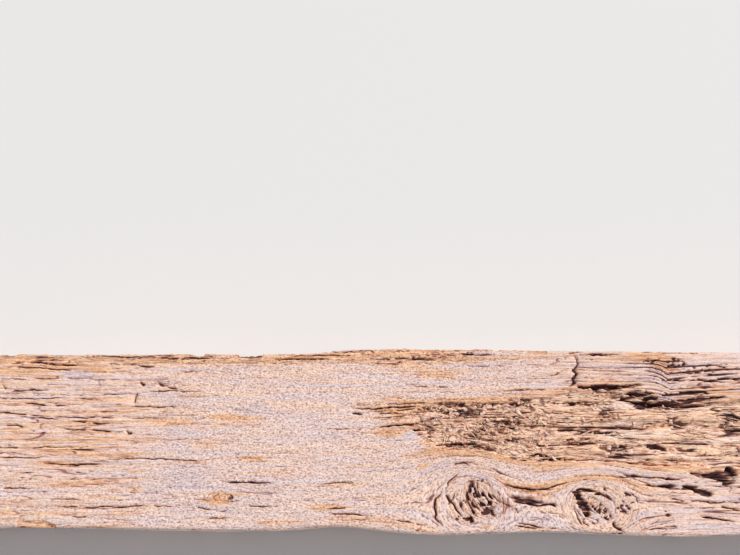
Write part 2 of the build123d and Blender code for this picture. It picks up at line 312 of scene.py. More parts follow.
# Groups of small pits: (x, y, half length, half width, count)
PIT_GROUPS = [
    (466, 106, 16, 8, 26), (428, 110, 16, 4, 8), (512, 97, 30, 5, 9), (131, -112, 13, 8, 9),
    (352, -96, 12, 16, 12),
]

# Where the wood shows orange: (x, y, half length, half width, strength)
ORANGE = [
    (-494, 112, 72, 13, 0.9), (-420, 98, 34, 6, 1.0), (-407, 17, 34, 4, 0.9),
    (-299, 20, 60, 5, 0.9), (-407, 5, 34, 4, 0.9), (-514, 4, 24, 8, 0.8), (-456, -28, 72, 7, 1.0),
    (-350, -29, 18, 4, 0.8), (-449, -43, 22, 4, 0.9), (-493, -60, 26, 4, 0.7),
    (-324, -77, 8, 4, 0.8), (-206, -83, 18, 5, 1.0), (-247, -11, 38, 5, 0.6),
    (-165, -35, 16, 4, 0.8), (68, 45, 60, 5, 0.9), (26, 33, 32, 4, 1.0), (48, 5, 58, 7, 0.9),
    (114, -22, 58, 9, 1.0), (-63, -107, 20, 5, 0.8), (-131, -121, 40, 3, 0.8),
    (105, 86, 42, 8, 0.8), (82, 116, 70, 12, 1.0), (75, -43, 7, 6, 0.9), (250, -43, 46, 7, 1.0),
    (232, -76, 48, 6, 0.9), (377, -11, 67, 6, 0.8), (490, -11, 35, 14, 0.7),
    (429, 117, 44, 7, 1.0), (-60, 117, 60, 8, 1.0), (-250, 118, 90, 7, 0.8),
    (230, 118, 90, 6, 0.6), (300, 96, 60, 10, 0.5), (380, -88, 60, 8, 0.4), (30, -116, 90, 6, 0.5),
    (-478, 108, 84, 15, 1.0), (430, 122, 40, 8, 1.9), (52, 26, 52, 17, 0.9), (-190, 24, 42, 9, 0.9),
    (300, -58, 130, 7, 0.8), (520, 70, 40, 8, 1.0), (-40, 119, 90, 8, 1.0), (60, 114, 60, 12, 0.9),
]

# Blue-grey patches of sound weathered skin: (x, y, half length, half width)
GREY = [(-176, 35, 32, 14), (-442, 90, 26, 6), (440, 52, 20, 6), (-292, 52, 42, 12), (66, 2, 26, 9)]

# Heart of the tree on both ends, the number of fine shakes round it, and the splits that run
# out from it: (end, degrees, reach)
HEART = (0.0, 66.0)
SHAKES = 26
END_SPLITS = [(-1, 78, 60), (-1, 196, 92), (-1, -48, 58), (1, 104, 62), (1, -8, 96), (1, 232, 60)]

# How far out from the heart the rings of points on an end stand, as shares of the way
CAP_SHARES = np.concatenate([np.linspace(0.985, 0.9, 8), np.linspace(0.88, 0.03, 34)])[:, None]


def smooth(value, start, stop):
    """Eases from 0 at start to 1 at stop."""
    t = np.clip((value - start) / (stop - start), 0.0, 1.0)
    return t * t * (3.0 - 2.0 * t)


def noise(x, y, size_x, size_y, seed):
    """Smooth random field from -1 to 1, with lumps of this size."""
    values = np.random.default_rng(seed).random((256, 256))
    u = x / size_x + 31.37
    v = y / size_y + 57.91
    i = np.floor(u).astype(np.int64)
    j = np.floor(v).astype(np.int64)
    fu = u - i
    fv = v - j
    fu = fu * fu * (3.0 - 2.0 * fu)
    fv = fv * fv * (3.0 - 2.0 * fv)
    i0, i1, j0, j1 = i & 255, (i + 1) & 255, j & 255, (j + 1) & 255
    near = values[i0, j0] * (1 - fv) + values[i0, j1] * fv
    far = values[i1, j0] * (1 - fv) + values[i1, j1] * fv
    return 2.0 * (near * (1 - fu) + far * fu) - 1.0


def layered(x, y, size_x, size_y, seed, octaves=3):
    """Sum of finer and finer noise, from about -1 to 1."""
    total = np.zeros(np.broadcast(x, y).shape)
    weight = 1.0
    for octave in range(octaves):
        total += weight * noise(x, y, size_x, size_y, seed + octave)
        size_x, size_y, weight = size_x / 2.1, size_y / 2.1, weight * 0.5
    return total / (2.0 - 2.0 * weight)


def wander(along, size, seed):
    """Noise that changes along one direction only."""
    return noise(along, 0 * along, size, 1.0, seed)


def bell(values, reach):
    """1 where the values are 0, falling off over this reach."""
    return np.exp(-((values / reach) ** 2))


def terraces(values, step, riser):
    """Flat steps down through a smooth field: the level, and how far on the way to the next."""
    level = np.floor(values / step)
    past = values / step - level
    return level + smooth(past, 1 - riser, 1), past


def riser_line(past, start, stop):
    """Line just above a terrace's next step."""
    return smooth(past, start, stop) * smooth(past, 1.0, 0.97)


def cells(x, y, size_x, size_y, seed):
    """Random cells: distance to the nearest centre, to the second, and the cell's own tone."""
    rng = np.random.default_rng(seed)
    place_u, place_v, tones = rng.random((3, 256, 256))
    u = x / size_x + 31.37
    v = y / size_y + 57.91
    i = np.floor(u).astype(np.int64)
    j = np.floor(v).astype(np.int64)
    nearest = np.full(u.shape, 9.0)
    second = np.full(u.shape, 9.0)
    tone = np.zeros(u.shape)
    for di in (-1, 0, 1):
        for dj in (-1, 0, 1):
            a, b = (i + di) & 255, (j + dj) & 255
            distance = np.hypot(i + di + place_u[a, b] - u, j + dj + place_v[a, b] - v)
            closer = distance < nearest
            second = np.where(closer, nearest, np.minimum(second, distance))
            tone = np.where(closer, tones[a, b], tone)
            nearest = np.where(closer, distance, nearest)
    return nearest, second, tone


def vertex_places(mesh):
    """A mesh's vertices as rows of x, y and z, in metres."""
    places = np.empty(len(mesh.vertices) * 3)
    mesh.vertices.foreach_get("co", places)
    return places.reshape(-1, 3)


def side_line(side):
    """Long edge of the solid in plan, as a function of x."""
    points = vertex_places(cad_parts[NODE].data) / MM
    foot = np.abs(points[:, 2] - BED_ARRIS) < 0.6
    rim = points[foot & (side * points[:, 1] > 0.8 * SAWN_SIDE)]
    rim = rim[np.argsort(rim[:, 0])]
    return lambda x: np.interp(x, rim[:, 0], rim[:, 1])


def station_places():
    """Where the rings of the mesh stand along the sleeper."""
    fine = [np.arange(-FINE_REACH, FINE_REACH, FINE_STEP)]
    for kx, _, along, _, _ in KNOTS:
        reach = along + KNOT_ROOM
        fine.append(np.arange(kx - reach, kx + reach, FINE_STEP / 2))
    fine = np.round(np.concatenate(fine))
    coarse = np.arange(FINE_REACH, HALF_LENGTH - END_ARRIS, COARSE_STEP)
    rims = [
        SEAT_CENTRE + edge * SEAT_LENGTH / 2 + step for edge in (-1, 1) for step in SEAT_RIM_STEPS
    ]
    outer = np.concatenate([coarse, rims])
    turn = np.linspace(0, math.pi / 2, 4)
    ends = HALF_LENGTH - END_ARRIS + END_ARRIS * np.sin(turn)
    places = np.concatenate([fine, outer, -outer, ends, -ends])
    return np.unique(np.round(places, 3))


def ring_slots():
    """The ring's points as (part, share): part names the stretch of the section."""
    slots = []
    flat = 2 * SAWN_SIDE - 2 * TOP_ARRIS
    wall = HEIGHT - TOP_ARRIS - BED_ARRIS
    stretches = [
        ("front", round(wall / SIDE_STEP)), ("front_top", 8), ("top", round(flat / TOP_STEP)),
        ("back_top", 8), ("back", round(wall / SIDE_STEP)), ("back_bed", 4),
        ("bed", round(flat / BED_STEP)), ("front_bed", 4),
    ]
    for part, count in stretches:
        slots += [(part, k / count) for k in range(count)]
    return slots


stations = station_places()
slots = ring_slots()
front_line, back_line = side_line(-1), side_line(1)


def base_section():
    """Plain rounded section at every station: positions, outward directions and girth."""
    # The ends are rounded over by drawing the last rings in
    past = np.clip(np.abs(stations) - (HALF_LENGTH - END_ARRIS), 0, END_ARRIS)
    inset = END_ARRIS - np.sqrt(np.maximum(END_ARRIS**2 - past**2, 0))
    front, back = front_line(stations) + inset, back_line(stations) - inset
    top, bed = HEIGHT - inset, inset
    foot, head = bed + BED_ARRIS, top - TOP_ARRIS
    wide, tall = back - front, top - bed - TOP_ARRIS - BED_ARRIS
    half = SAWN_SIDE
    columns = []
    for part, t in slots:
        angle = t * math.pi / 2
        c, s = math.cos(angle), math.sin(angle)
        y, z, ny, nz = {
            "front": (front, foot + t * tall, -1, 0),
            "front_top": (front + TOP_ARRIS - TOP_ARRIS * c, head + TOP_ARRIS * s, -c, s),
            "top": (front + TOP_ARRIS + t * (wide - 2 * TOP_ARRIS), top, 0, 1),
            "back_top": (back - TOP_ARRIS + TOP_ARRIS * s, head + TOP_ARRIS * c, s, c),
            "back": (back, head - t * tall, 1, 0),
            "back_bed": (back - BED_ARRIS + BED_ARRIS * c, foot - BED_ARRIS * s, c, -s),
            "bed": (back - BED_ARRIS - t * (wide - 2 * BED_ARRIS), bed, 0, -1),
            "front_bed": (front + BED_ARRIS - BED_ARRIS * s, foot - BED_ARRIS * c, -s, -c),
        }[part]
        down = HEIGHT - z
        girth = {
            "front": -half - down, "front_top": y - down, "top": y, "back_top": y + down,
            "back": half + down, "back_bed": half + HEIGHT + (back - y),
            "bed": 2 * half + HEIGHT - y, "front_bed": -half - down,
        }[part]
        columns.append([stations, y, z, ny, nz, girth])
    shape = stations.shape
    return [
        np.stack([np.broadcast_to(column[k], shape) for column in columns], axis=1)
        for k in range(6)
    ]


X, Y, Z, NY, NZ, GIRTH = base_section()
facing_up = NZ > 0.9

# Slots of the top face, and how far its rows of points sway from their places at the middle
TOP_SLOTS = [k for k, (part, _) in enumerate(slots) if part in ("front_top", "top", "back_top")]
T0, T1 = TOP_SLOTS[0], TOP_SLOTS[-1] + 1
TOP_Y = GIRTH[len(stations) // 2, T0:T1]
ROW_SWAY = 8.0


def around(xs, ys, pad):
    """Slices of the top face that cover these places and a margin."""
    i0, i1 = np.searchsorted(stations, (min(xs) - pad, max(xs) + pad))
    j0, j1 = np.searchsorted(TOP_Y, (min(ys) - pad - ROW_SWAY, max(ys) + pad + ROW_SWAY))
    return slice(i0, i1), slice(T0 + j0, T0 + j1)


def turned(dx, dy, degrees):
    """Offsets along and across a direction in the face."""
    c, s = math.cos(math.radians(degrees)), math.sin(math.radians(degrees))
    return dx * c + dy * s, dy * c - dx * s


def knot_offsets(knot):
    """Offsets from a knot's middle, as shares of its half length and half width."""
    kx, ky, along, across, _ = knot
    return (X - kx) / along, (GIRTH - ky) / across


def core_places(number):
    """Share of a knot's core at each point, and places along and across its slivers."""
    kx, ky, half_x, half_y, degrees = KNOT_CORES[number][:5]
    dx, dy = X - kx, GIRTH - ky
    along, across = turned(dx, dy, degrees)
    ragged = 0.24 * layered(dx, dy, 11, 11, 151 + number, 2)
    r = np.hypot(along / half_x, across / half_y) + ragged
    share = smooth(r, 1.05, 0.80) * facing_up
    bend = 0.35 * np.minimum(along**2, half_y**2) / half_y
    return share, along, across + 1.5 * noise(along, across, 11, 8, 155) - bend


def grain_lines():
    """Coordinate across the grain: constant along a fibre, bent round knots and the kink."""
    g = GIRTH + 3.0 * layered(X, GIRTH, 340, 74, 11, 2) + 0.8 * noise(X, GIRTH, 70, 18, 14)
    for knot in KNOTS:
        dx, dy = knot_offsets(knot)
        r2 = dx**2 + dy**2
        g -= (GIRTH - knot[1]) / np.maximum(r2, 1.0) * bell(r2, 7.0)
    run = np.clip((X - KINK_X + KINK_RUN) / KINK_RUN, 0, 1) ** 2.4
    after = np.exp(-np.maximum(X - KINK_X, 0) / KINK_FADE)
    g = g + KINK_DROP * run * after * bell(GIRTH - KINK_Y, KINK_REACH)
    # Inside a knot the lines are its rings
    for knot in KNOTS:
        _, ky, _, across, _ = knot
        r = np.hypot(*knot_offsets(knot))
        share = smooth(r, 1.05, 0.95) * facing_up
        g += share * (ky + 0.9 * (r - 1) * across - g)
    for number, (_, ky, *_) in enumerate(KNOT_CORES):
        share, _, across = core_places(number)
        g += share * (ky + across - g)
    return g


G = grain_lines()

# Shares of the top face and of its stretches; the mesh is fine in the close part
on_top = smooth(HEIGHT - Z, 7.0, 2.0) * (NZ > -0.5)
left_part = on_top * smooth(X, -250, -360)
right_part = on_top * smooth(X, 190, 300)
centre_part = on_top * (1 - left_part) * (1 - right_part)
close_part = on_top * smooth(np.abs(X), FINE_REACH + 60, FINE_REACH - 20)

# What the surface gains as it is worked: depth below the sawn face, and stains from 0 to 1, whose
# dark field also holds painted shade in cracks, pits, gaps and hollows
skin = SimpleNamespace(**{name: np.zeros_like(X) for name in ("depth", *STAINS_AND_SHADE)})


def stain_and_shade(name, share, part=...):
    """Raises a stain, or the painted shade in the dark field, to this share where it's weaker."""
    values = getattr(skin, name)
    values[part] = np.maximum(values[part], share)


def grain_at(x, y):
    """Coordinate across the grain at one place on the top face."""
    return np.interp(x, stations, G[:, T0 + np.searchsorted(TOP_Y, y)])


def waves_and_fibres():
    """Slow waves and raised fibres."""
    waves = 0.5 * layered(X, G, 240, 40, 21, 2)
    fibres = 0.34 * layered(X, G, 70, 5.2, 31, 2)
    fibres += 0.26 * close_part * layered(X, G, 30, 2.4, 34, 2)
    fuzz = close_part * (0.20 + 0.22 * centre_part) * noise(X, G, 6.5, 2.6, 41)
    skin.depth += 1.15 + waves + fibres + fuzz


def split_layers(plain):
    """Thin layers of wood, split off one by one."""
    drift_x = X + 16 * noise(X, G, 34, 9, 52)
    drift_g = G + 0.7 * noise(X, G, 11, 5, 53)
    level, past = terraces(layered(drift_x, drift_g, 210, 11, 54, 3), 0.26, 0.10)
    strength = on_top * (0.30 + 0.60 * left_part + 0.35 * right_part) + 0.4 * (1 - on_top)
    skin.depth -= 0.375 * strength * level
    broken = smooth(noise(X, G, 60, 9, 57), -0.1, 0.5)
    edges = riser_line(past, 0.84, 0.93)
    # Painted shade along the broken edges of the layers
    skin.dark += (0.46 - 0.14 * left_part) * strength * edges * broken * plain
    strips = smooth(layered(X, G, 240, 7, 58, 2), 0.05, 0.4)
    skin.fresh += strength * smooth(past, 0.15, 0.0) * 0.5 + left_part * (0.14 + 0.28 * strips)


def back_splinters():
    """Splinters that have come up along the back arris."""
    band = on_top * smooth(GIRTH, 100, 107) * smooth(X, 210, 120) * close_part
    drift = X + 12 * noise(X, G, 30, 8, 43)
    ply, past = terraces(layered(drift, G, 120, 6.5, 44, 3), 0.22, 0.12)
    skin.depth -= 0.55 * band * ply
    shown = smooth(noise(X, G, 50, 7, 47), -0.3, 0.2)
    # Painted shade along the steps of the splinters
    skin.dark += 0.9 * band * smooth(past, 0.78, 0.92) * shown
    skin.fresh += 0.55 * band


def fine_checks(plain):
    """Long fine checks that wander with the grain."""
    share = 0.35 + 0.65 * (left_part + right_part) + 0.3 * (1 - on_top)
    for seed, size_x, size_y, reach in FINE_CHECKS:
        line = noise(X, G + 0.5 * noise(X, G, 12, 6, seed + 1), size_x, size_y, seed)
        shown = smooth(noise(X, G, 46, 11, seed + 4), 0.15 - 0.35 * left_part, 0.5)
        check = bell(line, reach) * shown * share * plain
        skin.depth += 1.3 * check
        # Painted shade in the checks
        stain_and_shade("dark", (0.7 - 0.14 * left_part) * check)


def scattered_pits():
    distance, _, tone = cells(X, G, 6.0, 3.6, 66)
    pits = smooth(distance, 0.36, 0.12) * smooth(tone, 0.70, 0.80) * close_part
    skin.depth += 1.1 * pits * (0.35 + 0.65 * centre_part)
    # Painted shade in the pits
    skin.dark += 0.45 * pits


def torn_back():
    """Ragged upper part of the back side, below the torn arris."""
    torn = smooth(X, -640, -560) * (0.25 + 0.75 * smooth(X, 330, 250))
    torn = torn * smooth(GIRTH, 119, 127) * smooth(HEIGHT - Z, 60, 12)
    jag = 1.0 + layered(X, Z, 30, 26, 73, 3) + 0.7 * noise(X, Z, 5.5, 14, 76)
    skin.depth += torn * np.clip(1.9 * jag, 0, 6)


def face_stains():
    """Grey skin, grit, and how far the face is bleached."""
    skin.grey += smooth(layered(X, G, 120, 34, 71, 3), 0.15, 0.7) * (0.25 + 0.35 * centre_part)
    front_strip = smooth(GIRTH, -40, -70) * smooth(X, 430, 330)
    strip_share = 0.5 + 0.5 * smooth(X, -250, -100)
    skin.grit += on_top * np.clip(centre_part + strip_share * front_strip, 0, 1)
    worn = 1 - 0.12 * left_part - 0.12 * right_part - 0.12 * smooth(X, 90, 190)
    skin.bleach += on_top * worn
    skin.bleach -= on_top * 0.45 * smooth(GIRTH, 60, 108)


def weathered_face():
    """Slow waves, fibres, split layers and pits that cover the whole timber."""
    # The big knots stay free of split layers and fine checks
    plain = np.ones_like(X)
    for knot in BIG_KNOTS:
        plain -= 0.85 * smooth(np.hypot(*knot_offsets(knot)), 1.0, 0.85) * on_top
    waves_and_fibres()
    split_layers(plain)
    back_splinters()
    fine_checks(plain)
    scattered_pits()
    torn_back()
    face_stains()


def growth_ridges():
    """Hard bands of late wood that stand up near the kink and along the back."""
    strength = smooth(X, 150, 330) * smooth(GIRTH, 40, 66) * smooth(GIRTH, 119, 108) * on_top
    strength *= (0.5 + 0.5 * smooth(X, 330, 420)) * (0.15 + 0.85 * smooth(X, 720, 610))
    strength = np.maximum(strength, 0.22 * on_top * smooth(GIRTH, 20, -20) * smooth(X, 330, 420))
    wave = np.cos(2 * math.pi * (G + 0.7 * noise(X, G, 60, 9, 82)) / RIDGE_PITCH)
    groove = smooth(wave, 0.35, 0.9)
    worn = smooth(noise(X, G, 42, 5, 83), -0.6, 0.3)
    skin.depth += strength * (1.9 * groove * (0.4 + 0.6 * worn) - 0.2)
    # Painted shade in the grooves between the hard bands
    skin.dark += (0.6 + 0.45 * smooth(X, 380, 430)) * strength * groove * worn


def small_pits():
    """Groups of small pits with painted shade in their bottoms."""
    rng = np.random.default_rng(91)
    for cx, cy, half_x, half_y, count in PIT_GROUPS:
        for _ in range(count):
            turn, share = rng.uniform(0, 2 * math.pi), math.sqrt(rng.uniform(0, 1))
            x, y = cx + half_x * share * math.cos(turn), cy + half_y * share * math.sin(turn)
            radius = rng.uniform(1.1, 2.2)
            part = around([x], [y], 6)
            away = np.hypot((X[part] - x) / 1.5, GIRTH[part] - y) / radius
            pit = smooth(away, 1.15, 0.5)
            skin.depth[part] += 2.2 * pit
            stain_and_shade("dark", 0.85 * pit, part)


def beside_line(x, y, line):
    """Distance to a drawn line, share of its length so far, and how far below it."""
    xs, ys = zip(*line)
    steps = np.hypot(np.diff(xs), np.diff(ys))
    reached = np.concatenate([[0], np.cumsum(steps)]) / steps.sum()
    nearest = np.full(x.shape, FAR_OFF)
    along, lower = np.zeros(x.shape), np.zeros(x.shape)
    for k, step in enumerate(steps):
        ax, ay = xs[k], ys[k]
        ux, uy = (xs[k + 1] - ax) / step, (ys[k + 1] - ay) / step
        t = np.clip((x - ax) * ux + (y - ay) * uy, 0, step)
        away = np.hypot(x - ax - t * ux, y - ay - t * uy)
        closer = away < nearest
        share = reached[k] + t / step * (reached[k + 1] - reached[k])
        nearest = np.where(closer, away, nearest)
        along = np.where(closer, share, along)
        lower = np.where(closer, ay + t * uy - y, lower)
    return nearest, along, lower


def cut_checks(checks, jitter, seed, tone=0.95):
    """Ragged V-shaped cracks along drawn lines."""
    for number, (width, deep, line) in enumerate(checks):
        part = around(*zip(*line), 9)
        x, y = X[part], GIRTH[part]
        x = x + jitter * noise(x, y, 30, 5, seed + number)
        y = y + wander(x, 17, seed + 1 + number) + 0.5 * wander(x, 4, seed + 2)
        nearest, along, lower = beside_line(x, y, line)
        taper = 1 - np.abs(2 * along - 1) ** 4
        whole = smooth(wander(x, 13, seed + 9 + number), -0.75, -0.15)
        half = width / 2 * (0.5 + 0.5 * taper) * (0.5 + 0.6 * whole)
        half = half * (1.0 + 0.4 * wander(x, 6, seed + 7))
        v = np.clip(1 - nearest / half, 0, 1) ** 0.6
        skin.depth[part] += deep * taper * v * (0.3 + 0.7 * whole)
        # Painted shade in the open crack, as strong as tone
        opened = smooth(nearest, half * 1.1, half * 0.3) * taper * (0.25 + 0.75 * whole)
        stain_and_shade("dark", tone * opened, part)
        # The near lip is broken lower and shows fresher wood
        lip = smooth(lower, 0.0, 1.0) * np.exp(-nearest / 4.0) * taper
        skin.depth[part] += 0.6 * lip * smooth(noise(x, y, 18, 3, seed + 11 + number), -0.4, 0.2)
        stain_and_shade("fresh", 0.7 * lip, part)


def hair_checks(count, seed):
    """Many short thin checks along the grain."""
    rng = np.random.default_rng(seed)
    for item in range(count):
        x = rng.uniform(*HAIR_REACH_X)
        y = rng.uniform(*HAIR_REACH_Y)
        calm = CALM_STRETCH[0] < x < CALM_STRETCH[1] and rng.random() < CALM_SHARE
        length = rng.uniform(5, 18) if calm else rng.uniform(14, 110)
        width = rng.uniform(1.3, 1.9)
        deep = rng.uniform(0.5, 1.2) if calm else rng.uniform(0.8, 2.4)
        part = around((x - length / 2, x + length / 2), [y], 3)
        own_x = X[part]
        across = np.abs(G[part] - grain_at(x, y) + 0.8 * wander(own_x, 9, seed + item))
        taper = np.clip(1 - ((own_x - x) / (length / 2)) ** 2, 0, 1)
        v = np.clip(1 - across / (width / 2), 0, 1) * smooth(taper, 0, 0.5)
        v = v * smooth(wander(own_x, 7, seed + 2 + item), -0.6, 0.2)
        skin.depth[part] += deep * v
        # Painted shade in the check
        stain_and_shade("dark", 0.72 * v, part)


def inside_rim(x, y):
    """How far each point lies inside the hollow's rim."""
    # The rim steps from fibre to fibre, so it's ragged along the grain and sharp across it
    ragged = 5.5 * noise(x, y, 46, 3.4, 101) + 2.2 * noise(x, y, 14, 2.2, 102)
    near_side = y - np.interp(x, PLAN_X, PLAN_NEAR) + 0.5 * ragged
    far_side = np.interp(x, PLAN_X, PLAN_FAR) - y + 0.5 * ragged
    ends = 0.22 * np.minimum(x - PLAN_X[0], PLAN_X[-1] - x) + 1.6 * ragged
    return np.minimum(np.minimum(near_side, far_side), ends)


def rotten_strands(x, y, g):
    """Long flat strands at different levels: depth, open gaps, and steep risers."""
    step = 0.20
    bend = g + 1.8 * layered(x, y, 70, 14, 104, 2)
    slow = layered(x + 26 * noise(x, y, 50, 9, 106), bend, 230, 11, 111, 3)
    level, past = terraces(slow, step, 0.07)
    levels = (2.3 - 6.0 * level * step) * (0.55 + 0.45 * smooth(x, 210, 300))
    splits = bell(noise(x, bend, 170, 9.0, 114), 0.11)
    splits *= smooth(noise(x, g, 80, 13, 115), -0.05, 0.35)
    slits = bell(noise(x + 5 * noise(x, g, 9, 3, 117), g, 70, 4.4, 116), 0.09)
    slits *= smooth(noise(x, g, 44, 8, 118), -0.1, 0.4)
    fibres = 0.45 * layered(x, g, 40, 2.2, 121, 2) + 0.3 * noise(x, g, 7, 2.2, 123)
    deep = 1.6 + levels + 6.5 * splits + 2.8 * slits + fibres
    return deep, np.maximum(splits, 0.9 * slits), riser_line(past, 0.78, 0.92)


def rotten_chunks(x, g):
    """Chunks of rotten wood: depth, and the holes between them, which get painted shade."""
    coarse = smooth(noise(x, g, 50, 13, 125), -0.15, 0.25) * smooth(x, 285, 215)
    beyond = smooth(noise(x, g, 46, 11, 126), 0.15, 0.45) * smooth(x, 560, 520)
    coarse = np.maximum(coarse, beyond)
    distance, second, tone = cells(x + 2 * noise(x, g, 9, 5, 128), g, 8.0, 4.6, 127)
    gap = bell(second - distance, 0.20)
    holes = coarse * np.maximum(smooth(tone, 0.60, 0.80), 0.75 * gap)
    return coarse * (6.0 * (tone - 0.42) + 2.4 * gap), holes


def rotted_hollow():
    """Hollow of split, stepped strands of soft wood, with open gaps between them."""
    part = around(PLAN_X, (*PLAN_NEAR, *PLAN_FAR), 16)
    x, y, g = X[part], GIRTH[part], G[part]
    inside = inside_rim(x, y)
    wall = smooth(inside, -0.3, 1.8)
    strands, gaps, risers = rotten_strands(x, y, g)
    chunks, holes = rotten_chunks(x, g)
    total = strands + chunks
    skin.depth[part] += wall * np.clip(total, 0.1, 15)
    stain_and_shade("rot", wall * (0.55 + 0.45 * smooth(total, 1.0, 3.5)), part)
    # Painted shade in the gaps, on the risers and in the holes
    shade = np.maximum(np.maximum(0.9 * gaps, 0.48 * risers), 0.75 * holes)
    skin.dark[part] *= 1 - 0.5 * wall
    stain_and_shade("dark", wall * shade, part)
    stain_and_shade("fresh", smooth(inside, -16, -1) * 0.75, part)


def outside_chain(x, y, chain):
    """How far each point lies outside a chain of circles."""
    outside = np.full(x.shape, FAR_OFF)
    for (ax, ay, ar), (bx, by, br) in zip(chain, chain[1:]):
        step = math.hypot(bx - ax, by - ay)
        t = np.clip(((x - ax) * (bx - ax) + (y - ay) * (by - ay)) / step**2, 0, 1)
        away = np.hypot(x - ax - t * (bx - ax), y - ay - t * (by - ay))
        outside = np.minimum(outside, away - ar - t * (br - ar))
    return outside


def hollow_out(places, seed):
    """Deep ragged cavities, each a chain of (x, y, half width) points."""
    for number, (deep, chain) in enumerate(places, seed):
        xs, ys, rs = zip(*chain)
        part = around(xs, ys, max(rs) + 8)
        x, y = X[part], GIRTH[part]
        ragged = 2.4 * noise(x, y, 19, 2.6, number) + 1.4 * noise(x, y, 6, 2.2, number + 20)
        outside = outside_chain(x, y, chain) + ragged
        bottom = 0.72 + 0.42 * layered(x, y, 26, 3.0, number + 40, 2)
        bottom = bottom + 0.25 * noise(x, y, 9, 2.2, seed + 60)
        skin.depth[part] += deep * smooth(outside, 0.3, -1.5) * bottom
        # Painted shade in the cavity, strongest where it is deepest
        stain_and_shade("dark", 0.95 * smooth(outside, 0.2, -1.0) * smooth(bottom, 0.3, 0.7), part)
        stain_and_shade("rot", 0.8 * smooth(outside, 3.0, 0.0), part)


def weathered_knots():
    """Worn knots: faint rings round a core of loose chips."""
    for number, (kx, ky, along, across, degrees) in enumerate(BIG_KNOTS):
        part = around((kx - along, kx + along), (ky - across, ky + across), 6)
        dx, dy = X[part] - kx, GIRTH[part] - ky
        u, v = turned(dx, dy, degrees)
        u, v = u / along, v / across
        r = np.hypot(u, v) + 0.06 * layered(u, v, 0.5, 0.5, 141 + number, 2)
        inside = smooth(r, 1.04, 0.94)
        period = KNOT_RING_PITCH / min(along, across)
        wobble = 0.02 * noise(u, v, 0.2, 0.2, 145)
        rings = smooth(np.cos(2 * math.pi * (r + wobble) / period), 0.2, 0.95)
        worn = smooth(noise(dx, dy, 14, 14, 147 + number), -0.2, 0.4) * smooth(r, 0.35, 0.75)
        skin.depth[part] += inside * (0.6 * rings * worn + 1.6 * (1 - np.clip(r, 0, 1) ** 2))
        stain_and_shade("dark", 0.30 * inside * rings * worn, part)
        skin.bleach[part] -= 0.25 * inside


def knot_cores():
    """The slivers of each knot's core stand at different heights, with painted shade in the gaps
    between them.
    """
    for number, (*_, chip_x, chip_y, deep) in enumerate(KNOT_CORES):
        inside, along, across = core_places(number)
        streak = layered(along, across, 1.7 * chip_x, 1.15 * chip_y, 157 + number, 2)
        distance, _, tone = cells(along, across, chip_x, 1.3 * chip_y, 167 + number)
        missing = smooth(tone, 0.76, 0.80) * smooth(distance, 0.66, 0.50)
        void = np.maximum(0.75 * smooth(streak, -0.20, -0.36), missing)
        level = 0.3 + deep * (0.35 * tone + 0.75 * void)
        skin.depth += inside * level
        # Painted shade in the gaps between the slivers
        stain_and_shade("dark", 0.9 * inside * void)
        stain_and_shade("fresh", 0.4 * inside * (1 - void))
        stain_and_shade("rot", inside * (0.25 + 0.4 * void))


def fresh_patches():
    """Orange wood where weathered skin has gone, and grey where it holds."""
    room = 24
    for number, (cx, cy, half_x, half_y, strength) in enumerate(ORANGE):
        part = around((cx - half_x, cx + half_x), (cy - half_y, cy + half_y), room)
        x, g = X[part], G[part] - grain_at(cx, cy)
        r = np.hypot((x - cx) / (1.3 * half_x), g / (1.3 * half_y))
        r = r + 0.6 * noise(x, g, 52, 2.8, 161 + number) + 0.25 * noise(x, g, 14, 2.2, 163 + number)
        patch = 0.8 * strength * on_top[part] * smooth(r, 1.25, 0.2)
        stain_and_shade("fresh", patch, part)
        skin.grey[part] *= 1 - 0.8 * patch
    for number, (cx, cy, half_x, half_y) in enumerate(GREY):
        part = around((cx - half_x, cx + half_x), (cy - half_y, cy + half_y), room)
        x, y = X[part], GIRTH[part]
        r = np.hypot((x - cx) / half_x, (y - cy) / half_y) + 0.5 * noise(x, y, 20, 5, 181 + number)
        patch = on_top[part] * smooth(r, 1.15, 0.4)
        stain_and_shade("grey", 0.62 * patch, part)
        skin.fresh[part] *= 1 - patch


def plate_seats():
    """Flat recesses crushed in by the baseplates."""
    crushed = SEAT_SINK + 0.3 + 0.22 * layered(X, G, 50, 3.4, 195, 2)
    stained = smooth(layered(X, G, 90, 10, 197, 3), -0.5, 0.6)
    for side in (-1, 1):
        out_x = np.abs(X - side * SEAT_CENTRE) - SEAT_LENGTH / 2
        out_y = np.abs(GIRTH) - SEAT_WIDTH / 2
        out = np.maximum(out_x, out_y) + 0.5 * noise(X, G, 14, 14, 191)
        inside = smooth(out, 0.8, -0.8) * on_top
        skin.depth += inside * (crushed - skin.depth)
        skin.grey = skin.grey * (1 - inside) + (0.25 + 0.55 * stained) * inside
        skin.fresh *= 1 - inside
        rim = bell(out, 1.6) * on_top * smooth(noise(X, GIRTH, 22, 22, 199), -0.7, 0.3)
        stain_and_shade("dark", 0.42 * rim)
        stain_and_shade("rot", 0.45 * inside * smooth(noise(X, G, 44, 12, 198), 0.1, 0.7))


def side_checks():
    """Long open checks along the two sides."""
    for number, (side, cx, height, length, width, deep) in enumerate(SIDE_CHECKS):
        across = (Z - height) + 1.8 * wander(X, 46, 201 + number) + 0.6 * wander(X, 9, 221 + number)
        on_side = (side * NY > 0.9) & (np.abs(X - cx) < length / 2)
        taper = np.clip(1 - ((X - cx) / (length / 2)) ** 4, 0, 1) * on_side
        half = width * (0.70 + 0.35 * wander(X, 24, 241 + number))
        v = np.clip(1 - np.abs(across) / half, 0, 1) ** 0.6 * taper
        skin.depth += deep * v
        # Painted shade in the check
        stain_and_shade("dark", smooth(v, 0.0, 0.5))


